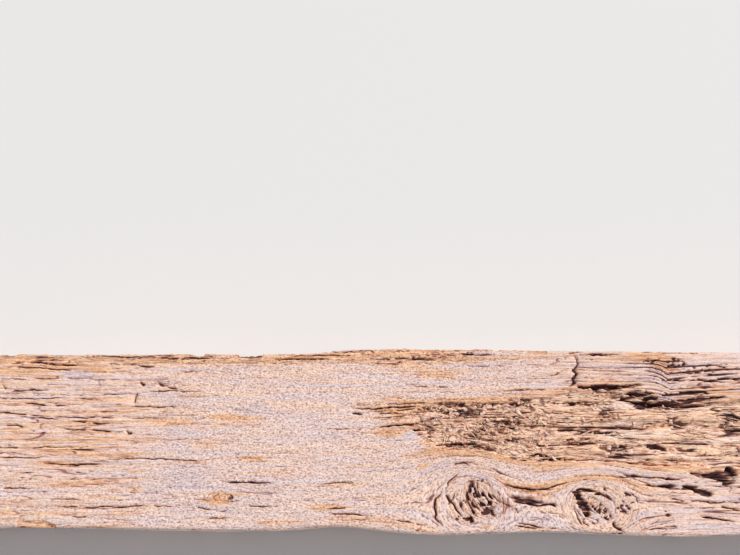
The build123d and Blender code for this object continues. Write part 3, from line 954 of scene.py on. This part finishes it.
def weathered_sides():
    """Stains, raised plies and short thin checks on the two sides, with painted shade along the
    plies' broken edges and in the checks.
    """
    on_side = smooth(np.abs(NY), 0.7, 0.95)
    along = Z + 3 * wander(X, 150, 251)
    skin.grey += on_side * (0.25 + 0.75 * smooth(layered(X, along, 260, 20, 252, 3), -0.1, 0.6))
    skin.fresh += 0.42 * on_side * smooth(layered(X, along, 180, 7, 253, 3), 0.0, 0.6)
    drift = X + 14 * noise(X, Z, 30, 9, 254)
    ply, past = terraces(layered(drift, along, 240, 12, 255, 3), 0.24, 0.10)
    skin.depth -= 0.45 * on_side * ply
    broken = smooth(noise(X, Z, 80, 9, 256), -0.2, 0.4)
    # Painted shade along the plies' broken edges
    skin.dark += 0.75 * on_side * riser_line(past, 0.80, 0.92) * broken
    thin = bell(noise(X, along, 150, 6.0, 257), 0.07)
    thin = thin * smooth(noise(X, Z, 90, 12, 258), 0.0, 0.4)
    skin.depth += 1.4 * on_side * thin
    # Painted shade in the thin checks
    stain_and_shade("dark", 0.8 * on_side * thin)
    # Darker towards the bottom of each side
    low_darkening = on_side * smooth(Z + 14 * layered(X, Z, 160, 30, 259, 2), 48, 8)
    stain_and_shade("dark", 0.22 * low_darkening)


def soften(values, along, across):
    """Mean over a window of this many stations and slots each way."""
    for axis, reach in ((0, along), (1, across)):
        widths = [(0, 0), (0, 0)]
        widths[axis] = (reach + 1, reach)
        total = np.cumsum(np.pad(values, widths, mode="edge"), axis=axis)
        window = 2 * reach + 1
        ahead = np.take(total, np.arange(window, total.shape[axis]), axis=axis)
        behind = np.take(total, np.arange(0, total.shape[axis] - window), axis=axis)
        values = (ahead - behind) / window
    return values


def shade_hollows():
    """Darkens what lies below its surroundings."""
    hollow = skin.depth - soften(skin.depth, along=4, across=6)
    stain_and_shade("dark", 0.55 * smooth(hollow, 1.5, 6.5))
    for name in STAINS_AND_SHADE:
        setattr(skin, name, np.clip(getattr(skin, name), 0, 1))


def break_arrises(y, z):
    """Steps left where splinters have come off the two top arrises."""
    for number, (side, start, end, bite, drop) in enumerate(ARRIS_BREAKS):
        rows = slice(*np.searchsorted(stations, (start, end)))
        x = X[rows]
        rim = side * (back_line if side > 0 else front_line)(x)
        out, up = side * y[rows], z[rows]
        t = (x - start) / (end - start)
        mouth = smooth(t, 0.0, 0.04) * smooth(t, 1.0, 0.93)
        reach = bite * mouth * (0.80 + 0.45 * wander(x, 19, 701 + number))
        wall = rim - reach + 1.1 * noise(x, up * 0.6, 6, 3, 721 + number)
        floor = HEIGHT - drop * (0.85 + 0.3 * wander(x, 40, 741 + number))
        floor = floor - 0.12 * (out - wall) + 0.9 * noise(x, out, 28, 2.4, 761 + number)
        inside = (out > wall) & (up > floor) & (mouth > 0)
        lower = inside & (up - floor < out - wall)
        edge = inside & ~lower
        up[lower] = np.minimum(up, floor)[lower]
        out[edge] = np.minimum(out, wall)[edge]
        y[rows], z[rows] = side * out, up
        corner = inside & (np.abs((up - floor) - (out - wall)) < 1.6)
        fresh, grey, dark = skin.fresh[rows], skin.grey[rows], skin.dark[rows]
        fresh[inside], grey[inside] = 0.8, 0.0
        # Painted shade on the floor of a deep break and along its inner corner
        dark[inside] = np.maximum(dark[inside], smooth(drop, 9, 15) * 0.55)
        dark[corner] = np.maximum(dark[corner], 0.75)


def beside_ray(radius, angle, turn):
    """How far points round the heart lie beside a ray from it."""
    return np.angle(np.exp(1j * (angle - turn))) * radius


def end_shakes(radius, angle, end):
    """Fine cracks that run out from the heart."""
    shakes = np.zeros_like(radius)
    rng = np.random.default_rng(821 + end)
    for _ in range(SHAKES):
        turn = rng.uniform(-math.pi, math.pi)
        start, reach = rng.uniform(4, 60), rng.uniform(20, 75)
        off = beside_ray(radius, angle, turn) + 1.2 * noise(radius, turn, 9, 1, 831)
        span = smooth(radius, start, start + 6) * smooth(radius, start + reach, start + reach - 14)
        shakes = np.maximum(shakes, span * np.clip(1 - np.abs(off) / 1.5, 0, 1))
    return shakes


def end_splits(radius, angle, end):
    """Open splits from the heart, as in the solid."""
    split = np.zeros_like(radius)
    for _, degrees, reach in [entry for entry in END_SPLITS if entry[0] == end]:
        turn = math.radians(degrees)
        off = beside_ray(radius, angle, turn) + noise(radius, turn, 14, 1, 841)
        span = smooth(radius, reach, 0.8 * reach) * (np.abs(off) < 40)
        split = np.maximum(split, span * np.clip(1 - np.abs(off) / 2.6, 0, 1) ** 0.6)
    return split


def end_relief(y, z, end):
    """Depth and darkness of the sawn end: growth rings, saw marks, fine shakes and splits."""
    dy, dz = y - HEART[0], z - HEART[1]
    radius, angle = np.hypot(dy, dz), np.arctan2(dz, dy)
    wobble = 2.5 * layered(y, z, 60, 60, 801 + end, 2)
    rings = smooth(np.cos(2 * math.pi * (radius + wobble) / RING_PITCH), -0.2, 0.9)
    saw = 0.125 * wander(y + 0.4 * z, 3.1, 811 + end)
    shakes, split = end_shakes(radius, angle, end), end_splits(radius, angle, end)
    deep = 0.4 + 0.35 * rings + saw + 3.0 * shakes + 16.0 * split
    stained = 0.30 + 0.25 * layered(y, z, 34, 34, 851 + end, 2)
    # Darker growth rings, with painted shade in the shakes and splits
    return deep, np.clip(stained * rings + 0.8 * shakes + split, 0, 1)


def texture_lines():
    """Places along and across the grain for the texture; they run round the rings of a knot."""
    run, line = X.copy(), G.copy()
    for knot in KNOTS:
        dx, dy = knot_offsets(knot)
        kx, _, along, _, _ = knot
        share = smooth(np.hypot(dx, dy), 1.05, 0.95) * on_top
        round_ring = kx + along * (1 - 2 * np.abs(np.arctan2(dy, dx)) / math.pi)
        run += share * (round_ring - run)
    for number, (kx, ky, *_) in enumerate(KNOT_CORES):
        share, along, across = core_places(number)
        run += share * (kx + along - run)
        line += share * (ky + across - line)
    return run, line


def end_cap(end, rim_y, rim_z):
    """Rings of points that close one end, from the rim in to the heart, and their stains and
    painted shade.
    """
    y = HEART[0] + CAP_SHARES * (rim_y - HEART[0])
    z = HEART[1] + CAP_SHARES * (rim_z - HEART[1])
    deep, dark = end_relief(y, z, end)
    dy, dz = y - HEART[0], z - HEART[1]
    stains_and_shade = {name: np.zeros_like(y) for name in STAINS_AND_SHADE}
    stains_and_shade["dark"], stains_and_shade["grey"] = dark, np.full_like(y, 0.5)
    stains_and_shade["run"], stains_and_shade["line"] = 70 * np.abs(np.arctan2(dz, dy)), np.hypot(dy, dz)
    return np.stack([end * (HALF_LENGTH - deep), y, z], axis=-1), stains_and_shade


def displaced():
    """The weathered surface as rows of points, and the stains and painted shade that go with them.
    """
    y = Y - NY * skin.depth
    z = Z - NZ * skin.depth
    break_arrises(y, z)
    body = {name: getattr(skin, name) for name in STAINS_AND_SHADE}
    body["run"], body["line"] = texture_lines()
    left_cap, left_stains_and_shade = end_cap(-1, y[0], z[0])
    right_cap, right_stains_and_shade = end_cap(1, y[-1], z[-1])
    points = np.concatenate([left_cap[::-1], np.stack([X, y, z], axis=-1), right_cap])
    stains_and_shade = {
        name: np.concatenate([left_stains_and_shade[name][::-1], values, right_stains_and_shade[name]])
        for name, values in body.items()
    }
    return points, stains_and_shade


def grid_mesh(name, points):
    """Closed mesh over rows of points that run round the section, with a tip at each end."""
    rows, across, _ = points.shape
    tips = points[[0, -1]].mean(axis=1)
    vertices = np.concatenate([points.reshape(-1, 3), tips]) * MM
    i, j = np.meshgrid(np.arange(rows - 1), np.arange(across), indexing="ij")
    beside = (j + 1) % across
    corners = [(i, j), (i + 1, j), (i + 1, beside), (i, beside)]
    quads = np.stack([a * across + b for a, b in corners], axis=-1).reshape(-1, 4)
    j, beside = j[0], beside[0]
    first, last = rows * across, rows * across + 1
    start = (rows - 1) * across
    fans = np.concatenate([
        np.stack([np.full(across, first), j, beside], axis=-1),
        np.stack([np.full(across, last), start + beside, start + j], axis=-1),
    ])
    mesh = bpy.data.meshes.new(name)
    mesh.vertices.add(len(vertices))
    mesh.vertices.foreach_set("co", vertices.ravel())
    mesh.loops.add(quads.size + fans.size)
    mesh.loops.foreach_set("vertex_index", np.concatenate([quads.ravel(), fans.ravel()]))
    starts = np.concatenate([np.arange(len(quads)) * 4, quads.size + np.arange(len(fans)) * 3])
    mesh.polygons.add(len(starts))
    mesh.polygons.foreach_set("loop_start", starts)
    mesh.update(calc_edges=True)
    mesh.validate()
    return mesh


def add_object(name, mesh):
    piece = bpy.data.objects.new(name, mesh)
    bpy.context.scene.collection.objects.link(piece)
    return piece


def apply_modifiers(piece):
    """Bakes the piece's modifiers into its mesh."""
    bpy.context.view_layer.update()
    seen = piece.evaluated_get(bpy.context.evaluated_depsgraph_get())
    mesh = bpy.data.meshes.new_from_object(seen)
    piece.modifiers.clear()
    piece.data = mesh


def keep_inside(mesh):
    """Trims what stands out of the solid's box."""
    least, most = (low + BOX_MARGIN) * MM, (high - BOX_MARGIN) * MM
    inside = np.clip(vertex_places(mesh), least, most)
    mesh.vertices.foreach_set("co", inside.ravel())


def screw_places():
    """Middles of the coach-screw holes in plan."""
    return [
        (end * SEAT_CENTRE + along * HOLE_PITCH[0] / 2, across * HOLE_PITCH[1] / 2)
        for end in (-1, 1) for along in (-1, 1) for across in (-1, 1)
    ]


def drill_screw_holes(piece):
    """Takes the coach-screw holes out of the timber."""
    sides = HOLE_SIDES
    turn = np.arange(sides) * 2 * math.pi / sides
    vertices, faces = [], []
    for cx, cy in screw_places():
        first = len(vertices)
        for z in (-HOLE_CLEAR, HEIGHT + HOLE_CLEAR):
            for a in turn:
                x, y = cx + HOLE_RADIUS * math.cos(a), cy + HOLE_RADIUS * math.sin(a)
                vertices.append((x * MM, y * MM, z * MM))
        for k in range(sides):
            n = (k + 1) % sides
            faces.append((first + k, first + n, first + sides + n, first + sides + k))
        faces.append(tuple(first + k for k in reversed(range(sides))))
        faces.append(tuple(first + sides + k for k in range(sides)))
    mesh = bpy.data.meshes.new("screw_holes")
    mesh.from_pydata(vertices, [], faces)
    drill = add_object("screw_holes", mesh)
    cut = piece.modifiers.new("holes", "BOOLEAN")
    cut.operation = "DIFFERENCE"
    cut.solver = "MANIFOLD"
    cut.object = drill
    apply_modifiers(piece)
    bpy.data.objects.remove(drill)


def thin_out(piece, triangles):
    """Keeps the triangles where the surface is rough."""
    piece.data.calc_loop_triangles()
    fewer = piece.modifiers.new("thin", "DECIMATE")
    fewer.ratio = triangles / len(piece.data.loop_triangles)
    apply_modifiers(piece)


def write_fields(mesh, stains_and_shade, run, line):
    """Stores the stains and painted shade, and the places along and across the grain, on the
    vertices.
    """
    for name, values in stains_and_shade.items():
        layer = mesh.attributes.new(name, "FLOAT", "POINT")
        layer.data.foreach_set("value", np.asarray(values, dtype=np.float32))
    grain = np.stack([run, line, np.zeros_like(run)], axis=-1)
    layer = mesh.attributes.new("grain", "FLOAT_VECTOR", "POINT")
    layer.data.foreach_set("vector", grain.astype(np.float32).ravel())


def write_stains_and_shade(mesh, points, stains_and_shade):
    """Copies the stains and painted shade to the mesh's vertices from the nearest of the original
    points.
    """
    flat = points.reshape(-1, 3) * MM
    tree = kdtree.KDTree(len(flat))
    for index, place in enumerate(flat.tolist()):
        tree.insert(place, index)
    tree.balance()
    found = np.array([tree.find(vertex.co)[1] for vertex in mesh.vertices])
    values = {name: column.ravel()[found] for name, column in stains_and_shade.items()}
    run, line = values.pop("run") * MM, values.pop("line") * MM
    place = vertex_places(mesh) / MM
    for cx, cy in screw_places():
        away = np.hypot(place[:, 0] - cx, place[:, 1] - cy)
        # Painted shade inside each screw hole, and rust round it
        values["dark"][away < HOLE_RADIUS + 0.4] = 0.8
        rusty = smooth(away, HOLE_RADIUS + RUST_REACH, HOLE_RADIUS)
        values["rot"] = np.maximum(values["rot"], 0.75 * rusty)
    write_fields(mesh, values, run, line)


def weather():
    """Works all the wear into the skin."""
    weathered_face()
    growth_ridges()
    hair_checks(HAIR_CHECKS, seed=301)
    cut_checks(CHECKS, jitter=0.0, seed=401)
    weathered_knots()
    knot_cores()
    small_pits()
    cut_checks(CROSS_BREAKS, jitter=2.0, seed=501, tone=0.85)
    rotted_hollow()
    hollow_out(CAVITIES, seed=601)
    fresh_patches()
    plate_seats()
    side_checks()
    weathered_sides()
    skin.depth = np.clip(skin.depth, SHALLOWEST, DEEPEST)
    shade_hollows()


def make_timber():
    """The weathered sleeper as one object."""
    weather()
    points, stains_and_shade = displaced()
    piece = add_object("timber", grid_mesh("timber", points))
    drill_screw_holes(piece)
    thin_out(piece, TIMBER_TRIANGLES)
    keep_inside(piece.data)
    write_stains_and_shade(piece.data, points, stains_and_shade)
    piece.data.polygons.foreach_set("use_smooth", [True] * len(piece.data.polygons))
    return piece


timber = make_timber()


def put(tree, kind, inputs=None, **settings):
    """Adds a shader node; an input is a value or another node's output."""
    made = tree.nodes.new(kind)
    for name, value in settings.items():
        setattr(made, name, value)
    for name, value in (inputs or {}).items():
        if isinstance(value, bpy.types.NodeSocket):
            tree.links.new(value, made.inputs[name])
        else:
            made.inputs[name].default_value = value
    return made


def maths(tree, operation, a, b=0.0, c=0.0):
    return put(tree, "ShaderNodeMath", {0: a, 1: b, 2: c}, operation=operation).outputs[0]


def rgba(colour):
    """A colour with its alpha, or a node's output as it is."""
    return (*colour, 1) if isinstance(colour, tuple) else colour


def blend(tree, share, a, b, mode="MIX"):
    """Mixes colour b over colour a."""
    inputs = {0: share, 6: rgba(a), 7: rgba(b)}
    return put(tree, "ShaderNodeMix", inputs, data_type="RGBA", blend_type=mode).outputs[2]


def ramp(tree, value, stops, reach=1.0):
    """Colour ramp from (place, colour) stops; the places may run up to reach."""
    made = put(tree, "ShaderNodeValToRGB", {0: maths(tree, "DIVIDE", value, reach)})
    elements = made.color_ramp.elements
    while len(elements) < len(stops):
        elements.new(0.5)
    for element, (place, colour) in zip(elements, stops):
        element.position = place / reach
        element.color = (*colour, 1)
    return made.outputs[0]


def mixed_sum(tree, *terms):
    """Weighted sum of (value, weight) pairs."""
    total = 0.0
    for value, weight in terms:
        total = maths(tree, "MULTIPLY_ADD", value, weight, total)
    return total


def ramp_fac(tree, value, start, stop):
    """Eases from 0 at start to 1 at stop."""
    inputs = {"Value": value, "From Min": start, "From Max": stop}
    return put(tree, "ShaderNodeMapRange", inputs, interpolation_type="SMOOTHSTEP").outputs[0]


def field(tree, name, output="Fac"):
    """One of the fields stored on the vertices."""
    return put(tree, "ShaderNodeAttribute", attribute_name=name).outputs[output]


def streaks(tree, vector, along, across, detail=3.0, seed=0.0):
    """Noise stretched along the grain; sizes are in millimetres."""
    scale = (1 / (along * MM), 1 / (across * MM), 1.0)
    moved = put(tree, "ShaderNodeMapping", {0: vector, 1: (seed, 2 * seed, seed), 3: scale})
    inputs = {"Vector": moved.outputs[0], "Scale": 1.0, "Detail": detail, "Roughness": 0.6}
    return put(tree, "ShaderNodeTexNoise", inputs).outputs[0]


# Colours of the wood, the tints of painted shade, and the paper of the floor and backdrop
CREAM = (0.87, 0.71, 0.66)
PALE = (0.83, 0.65, 0.61)
WARM = (0.89, 0.66, 0.57)
TAN = (0.83, 0.58, 0.47)
PEACH = (0.95, 0.69, 0.54)
LAVENDER = (0.80, 0.69, 0.71)
STEEL_GREY = (0.73, 0.61, 0.62)
LIGHT_ORANGE = (0.99, 0.70, 0.48)
ORANGE_WOOD = (0.90, 0.54, 0.32)
DEEP_ORANGE = (0.66, 0.33, 0.19)
ROT_PALE = (1.0, 0.79, 0.67)
ROT_MID = (0.98, 0.67, 0.53)
ROT_RUST = (0.80, 0.48, 0.39)
ROT_DARK = (0.42, 0.22, 0.22)
# Tints and colour of painted shade: cool on sound wood, warm in the rot, and the deepest shade
PAINTED_SHADE_TINT = (0.57, 0.40, 0.43)
PAINTED_SHADE_WARM = (0.60, 0.39, 0.33)
SHADOW = (0.100, 0.046, 0.050)
WHITE = (1, 1, 1)
PAPER = (0.80, 0.79, 0.78)

# Colour ramps: (place, colour)
BLEACHED = [(1.36, TAN), (1.60, WARM), (1.80, PALE), (2.05, CREAM)]
FRESH = [(0.36, DEEP_ORANGE), (0.52, ORANGE_WOOD), (0.66, LIGHT_ORANGE)]
ROTTEN = [(0.28, ROT_DARK), (0.36, ROT_RUST), (0.42, ROT_MID), (0.50, ROT_PALE)]
ROTTEN_BRIGHT = [(0.34, ROT_RUST), (0.42, ROT_MID), (0.52, LIGHT_ORANGE)]
FIBRE_TONES = [(0.34, (0.76, 0.70, 0.71)), (0.48, WHITE), (0.66, (1.08, 1.07, 1.06))]
LINE_TONES = [(0.36, (0.66, 0.57, 0.59)), (0.45, WHITE), (0.60, (1.10, 1.09, 1.09))]
GRIT_TONES = [
    (0.38, (0.50, 0.39, 0.40)), (0.47, (0.94, 0.92, 0.92)), (0.60, (1.13, 1.12, 1.11)),
]


def new_material(name):
    """A rough material with its tree and its shader."""
    material = bpy.data.materials.new(name)
    material.use_nodes = True
    shader = material.node_tree.nodes["Principled BSDF"]
    shader.inputs["Roughness"].default_value = 0.9
    return material, material.node_tree, shader


def sound_wood(tree, grain, broad, bands):
    """Skin from tan to cream, as far as the weather has bleached it, with grey where it holds."""
    tint = mixed_sum(tree, (broad, 1.5), (bands, 1.2), (field(tree, "bleach"), 0.42))
    colour = ramp(tree, tint, BLEACHED, reach=2.5)
    veil = streaks(tree, grain, 150, 5.0, detail=3.0, seed=9.2)
    for tone, full in ((PEACH, 0.61), (LAVENDER, 0.36)):
        share = maths(tree, "MULTIPLY", ramp_fac(tree, veil, 0.48, full), 0.75)
        colour = blend(tree, share, colour, tone)
    hold = mixed_sum(tree, (field(tree, "grey"), 1.0), (bands, 0.8))
    return blend(tree, ramp_fac(tree, hold, 0.55, 1.25), colour, STEEL_GREY)


def fresh_wood(tree, grain, bands, colour):
    """Orange wood over this colour."""
    runs = streaks(tree, grain, 130, 3.0, detail=2.0, seed=7.7)
    share = mixed_sum(tree, (field(tree, "fresh"), 1.0), (runs, 1.9))
    return blend(tree, ramp_fac(tree, share, 1.06, 1.70), colour, ramp(tree, bands, FRESH))


def rotten_wood(tree, broad, bands, fibres):
    """The hollow's strands, some brighter than others."""
    strand = mixed_sum(tree, (bands, 0.65), (fibres, 0.35))
    dull, bright = ramp(tree, strand, ROTTEN), ramp(tree, strand, ROTTEN_BRIGHT)
    return blend(tree, ramp_fac(tree, broad, 0.38, 0.52), dull, bright)


def surface_tones(tree, grain, fibres, specks, rot, colour):
    """Fibres, dark lines and grit over this colour."""
    colour = blend(tree, 0.7, colour, ramp(tree, fibres, FIBRE_TONES), "MULTIPLY")
    lines = streaks(tree, grain, 55, 1.5, detail=2.0, seed=6.1)
    grit = field(tree, "grit")
    calm = maths(tree, "MULTIPLY_ADD", rot, -0.5, 0.84)
    calm = maths(tree, "MULTIPLY_ADD", grit, -0.75, calm)
    colour = blend(tree, calm, colour, ramp(tree, lines, LINE_TONES), "MULTIPLY")
    share = maths(tree, "MULTIPLY_ADD", grit, 0.55, 0.38)
    return blend(tree, share, colour, ramp(tree, specks, GRIT_TONES), "MULTIPLY")


def weathered_wood():
    """Bleached, checked wood with orange fresh wood and rot where the stains say, and painted shade
    where the dark field says.
    """
    material, tree, shader = new_material("weathered_wood")
    grain, rot = field(tree, "grain", "Vector"), field(tree, "rot")
    broad = streaks(tree, grain, 80, 15, seed=1.3)
    bands = streaks(tree, grain, 42, 3.2, seed=2.1)
    fibres = streaks(tree, grain, 7, 1.9, detail=2.0, seed=3.7)
    specks = streaks(tree, grain, 3.3, 2.2, detail=3.0, seed=4.9)
    splits = ramp_fac(tree, streaks(tree, grain, 24, 2.1, detail=2.5, seed=8.3), 0.47, 0.39)
    splits = maths(tree, "MULTIPLY", splits, rot)
    colour = sound_wood(tree, grain, broad, bands)
    colour = fresh_wood(tree, grain, bands, colour)
    colour = blend(tree, rot, colour, rotten_wood(tree, broad, bands, fibres))
    colour = surface_tones(tree, grain, fibres, specks, rot, colour)
    # Painted shade: the dark field, the specks and the rot's splits tint the colour and then take
    # it towards SHADOW
    dark = field(tree, "dark")
    shade = mixed_sum(tree, (dark, 1.0), (specks, 0.5), (splits, 0.45), (rot, -0.045))
    shade_tint = blend(tree, rot, PAINTED_SHADE_TINT, PAINTED_SHADE_WARM)
    colour = blend(tree, ramp_fac(tree, shade, 0.40, 0.76), colour, shade_tint, "MULTIPLY")
    colour = blend(tree, ramp_fac(tree, shade, 0.60, 1.06), colour, SHADOW)
    tree.links.new(colour, shader.inputs["Base Color"])
    shader.inputs["Specular IOR Level"].default_value = 0.25
    height = mixed_sum(tree, (fibres, 0.6), (specks, 0.6), (splits, -0.5))
    bump = put(tree, "ShaderNodeBump", {"Height": height, "Strength": 0.8, "Distance": 0.0016})
    tree.links.new(bump.outputs[0], shader.inputs["Normal"])
    return material


def plain_material(name, colour):
    material, _, shader = new_material(name)
    shader.inputs["Base Color"].default_value = rgba(colour)
    return material


timber.data.materials.clear()
timber.data.materials.append(weathered_wood())
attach(timber, "root")
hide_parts(NODE)


def fibre_shape(path, width, thickness):
    """Closed thin splinter along a path of points, with pointed ends."""
    share = np.linspace(0, 1, len(path))[:, None]
    swell = 0.10 + 0.90 * np.sin(math.pi * np.clip(share * 1.1, 0, 1)) ** 0.7
    heading = np.gradient(path, axis=0)
    side = np.stack([-heading[:, 1], heading[:, 0], 0 * heading[:, 0]], axis=-1)
    side /= np.linalg.norm(side, axis=1, keepdims=True)
    across, above = side * swell * width / 2, UP * swell * thickness / 2
    rings = [path + across, path + above, path - across, path - above]
    points = np.stack(rings, axis=1).reshape(-1, 3)
    faces = []
    for k in range(len(path) - 1):
        for n in range(4):
            a, b = 4 * k + n, 4 * k + (n + 1) % 4
            faces.append((a, a + 4, b + 4, b))
    last = 4 * (len(path) - 1)
    faces += [(0, 1, 2, 3), (last + 3, last + 2, last + 1, last)]
    return points, faces


def random_stains(rng, rotten, pale, dark):
    """Stains of a loose piece: the least rot and paleness, and the most darkness."""
    return {
        "rot": rng.uniform(rotten, 1), "fresh": rng.uniform(pale, 1),
        "dark": rng.uniform(0, dark) ** 2, "bleach": rng.uniform(pale, 1),
    }


def loose_fibres(rng, place, count, lengths, widths, spread, lift):
    """Splinters that lie along the grain, rooted at one end and lifted a little at the other."""
    shapes = []
    while len(shapes) < count:
        x, y = place(rng)
        length, width = rng.uniform(*lengths), rng.uniform(*widths)
        turn = math.radians(rng.normal(0, spread)) + (math.pi if rng.random() < 0.5 else 0)
        bend = rng.normal(0, 0.12) * length
        share = np.linspace(0, 1, 6)
        px = x + share * length * math.cos(turn)
        py = y + share * length * math.sin(turn) + bend * share**2
        if py.max() > back_line(px).min() - 2 or py.min() < front_line(px).max() + 2:
            continue
        ground = np.array([ground_height(a, b) for a, b in zip(px, py)])
        rise = rng.uniform(0.1, 1.0) * lift * share**1.5
        base = np.minimum.accumulate(ground[::-1])[::-1] * 0.3 + ground * 0.7
        pz = np.minimum(base - 0.25 + rise, HEIGHT - 0.6 * width)
        points, faces = fibre_shape(np.stack([px, py, pz], axis=-1), width, 0.55 * width)
        shapes.append((points, faces, random_stains(rng, 0.2, 0.2, 0.45)))
    return shapes


def ball():
    """Corners and faces of a ball of twenty triangles."""
    long = (1 + 5**0.5) / 2
    corners = np.array([
        (-1, long, 0), (1, long, 0), (-1, -long, 0), (1, -long, 0), (0, -1, long), (0, 1, long),
        (0, -1, -long), (0, 1, -long), (long, 0, -1), (long, 0, 1), (-long, 0, -1), (-long, 0, 1),
    ])
    faces = [
        (0, 11, 5), (0, 5, 1), (0, 1, 7), (0, 7, 10), (0, 10, 11), (1, 5, 9), (5, 11, 4),
        (11, 10, 2), (10, 7, 6), (7, 1, 8), (3, 9, 4), (3, 4, 2), (3, 2, 6), (3, 6, 8),
        (3, 8, 9), (4, 9, 5), (2, 4, 11), (6, 2, 10), (8, 6, 7), (9, 8, 1),
    ]
    return corners / 1.9, faces


def crumbs(rng, place, count, sizes):
    """Angular crumbs of rotten wood that rest in the hollow."""
    corners, faces = ball()
    shapes = []
    for _ in range(count):
        x, y = place(rng)
        size = rng.uniform(*sizes)
        body = corners * (1 + 0.30 * rng.normal(size=(12, 1)))
        stretch = [rng.uniform(1.0, 2.6), rng.uniform(0.7, 1.1), rng.uniform(0.5, 0.8)]
        body = body * size / 2 * np.array(stretch)
        a = rng.uniform(-0.9, 0.9) if rng.random() < 0.7 else rng.uniform(-3, 3)
        c, s = math.cos(a), math.sin(a)
        body = body @ np.array([[c, -s, 0], [s, c, 0], [0, 0, 1]]).T
        z = ground_height(x, y) + 0.15 * size
        z -= max(0.0, z + body[:, 2].max() - (HEIGHT - 0.3))
        shapes.append((body + (x, y, z), faces, random_stains(rng, 0.3, 0, 0.75)))
    return shapes


def loose_piece(name, shapes, flat):
    """One object of many small closed shapes, in the timber's own material."""
    vertices, faces, values = [], [], {field_name: [] for field_name in STAINS_AND_SHADE}
    for points, own_faces, stains_and_shade in shapes:
        first = len(vertices)
        vertices += (points * MM).tolist()
        faces += [tuple(first + k for k in face) for face in own_faces]
        for field_name, column in values.items():
            column += [stains_and_shade.get(field_name, 0.0)] * len(points)
    mesh = bpy.data.meshes.new(name)
    mesh.from_pydata(vertices, [], faces)
    keep_inside(mesh)
    x, y, z = np.array(vertices).T
    write_fields(mesh, values, x, y + z)
    mesh.polygons.foreach_set("use_smooth", [not flat] * len(mesh.polygons))
    piece = add_object(name, mesh)
    mesh.materials.append(timber.data.materials[0])
    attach(piece, "root")


def inside_hollow(x0, x1, margin):
    """Picks random places in the rotted hollow between two stations."""
    def place(rng):
        while True:
            x, y = rng.uniform(x0, x1), rng.uniform(*HOLLOW_BAND)
            near = np.interp(x, PLAN_X, PLAN_NEAR) + margin
            far = np.interp(x, PLAN_X, PLAN_FAR) - margin
            if near < y < far:
                return x, y
    return place


def back_band(x0, x1):
    """Picks random places on the torn back arris."""
    return lambda rng: (rng.uniform(x0, x1), rng.uniform(*BACK_BAND))


# Rays that find the surface of the finished timber
timber_tree = bvhtree.BVHTree.FromPolygons(
    [vertex.co for vertex in timber.data.vertices],
    [tuple(face.vertices) for face in timber.data.polygons],
)


def ground_height(x, y):
    """Height of the timber's surface at this place in plan."""
    hit = timber_tree.ray_cast((x * MM, y * MM, 1.0), (0, 0, -1))[0]
    return hit.z / MM if hit else HEIGHT - 6.0


def make_debris():
    """Loose splinters and crumbs in the hollow and along the back arris."""
    rng = np.random.default_rng(901)
    whole, left = inside_hollow(66, 584, 2), inside_hollow(70, 262, 1)
    # (places, count, lengths, widths, spread in degrees, lift)
    groups = [
        (whole, 150, (16, 74), (1.1, 2.8), 4, 2.6),
        (left, 90, (8, 30), (0.9, 2.2), 30, 3.0),
        (back_band(-600, -330), 46, (14, 60), (1.0, 2.6), 3, 1.2),
        (back_band(-260, 250), 80, (14, 60), (1.0, 2.6), 3, 1.2),
    ]
    fibres = [shape for group in groups for shape in loose_fibres(rng, *group)]
    loose_piece("splinters", fibres, flat=False)
    bits = crumbs(rng, left, 210, (2.4, 7.0)) + crumbs(rng, whole, 150, (1.6, 4.5))
    loose_piece("crumbs", bits, flat=True)


make_debris()


def make_floor():
    reach = 30.0
    mesh = bpy.data.meshes.new("floor")
    corners = [(-reach, -reach, 0), (reach, -reach, 0), (reach, reach, 0), (-reach, reach, 0)]
    mesh.from_pydata(corners, [], [(0, 1, 2, 3)])
    floor = add_object("floor", mesh)
    floor.data.materials.append(plain_material("pale_floor", PAPER))


def make_sun():
    """Sun half way up the sky, behind and to the right of the timber."""
    azimuth, elevation = math.radians(52), math.radians(47)
    sun = bpy.data.lights.new("sun", "SUN")
    sun.energy = 2.7
    sun.angle = math.radians(9)
    sun.color = (1.0, 0.98, 0.95)
    lamp = add_object("sun", sun)
    lamp.rotation_euler = (math.pi / 2 - elevation, 0, math.pi - azimuth)


def make_sky():
    """Soft light from all round, and a plain pale backdrop where the camera sees past the floor."""
    world = bpy.data.worlds.new("studio")
    bpy.context.scene.world = world
    world.use_nodes = True
    tree = world.node_tree
    light = tree.nodes["Background"]
    light.inputs["Color"].default_value = (0.93, 0.96, 1.0, 1)
    light.inputs["Strength"].default_value = 0.42
    seen = put(tree, "ShaderNodeBackground", {"Color": rgba(PAPER), "Strength": 1.0})
    rays = put(tree, "ShaderNodeLightPath").outputs["Is Camera Ray"]
    either = put(tree, "ShaderNodeMixShader", {0: rays, 1: light.outputs[0], 2: seen.outputs[0]})
    tree.links.new(either.outputs[0], tree.nodes["World Output"].inputs["Surface"])


def make_camera():
    """Stands close over the near long edge and looks down and across, as in the photograph."""
    pitch_down = 65.5
    height_over_top = 820.0
    camera = bpy.data.cameras.new("camera")
    camera.lens = 27.0
    camera.sensor_width = 36.0
    holder = add_object("camera", camera)
    holder.location = (0, -SAWN_SIDE * MM, (HEIGHT + height_over_top) * MM)
    holder.rotation_euler = (math.radians(90 - pitch_down), 0, 0)
    bpy.context.scene.camera = holder


make_floor()
make_sun()
make_sky()
make_camera()
bpy.context.scene.view_settings.view_transform = "Standard"
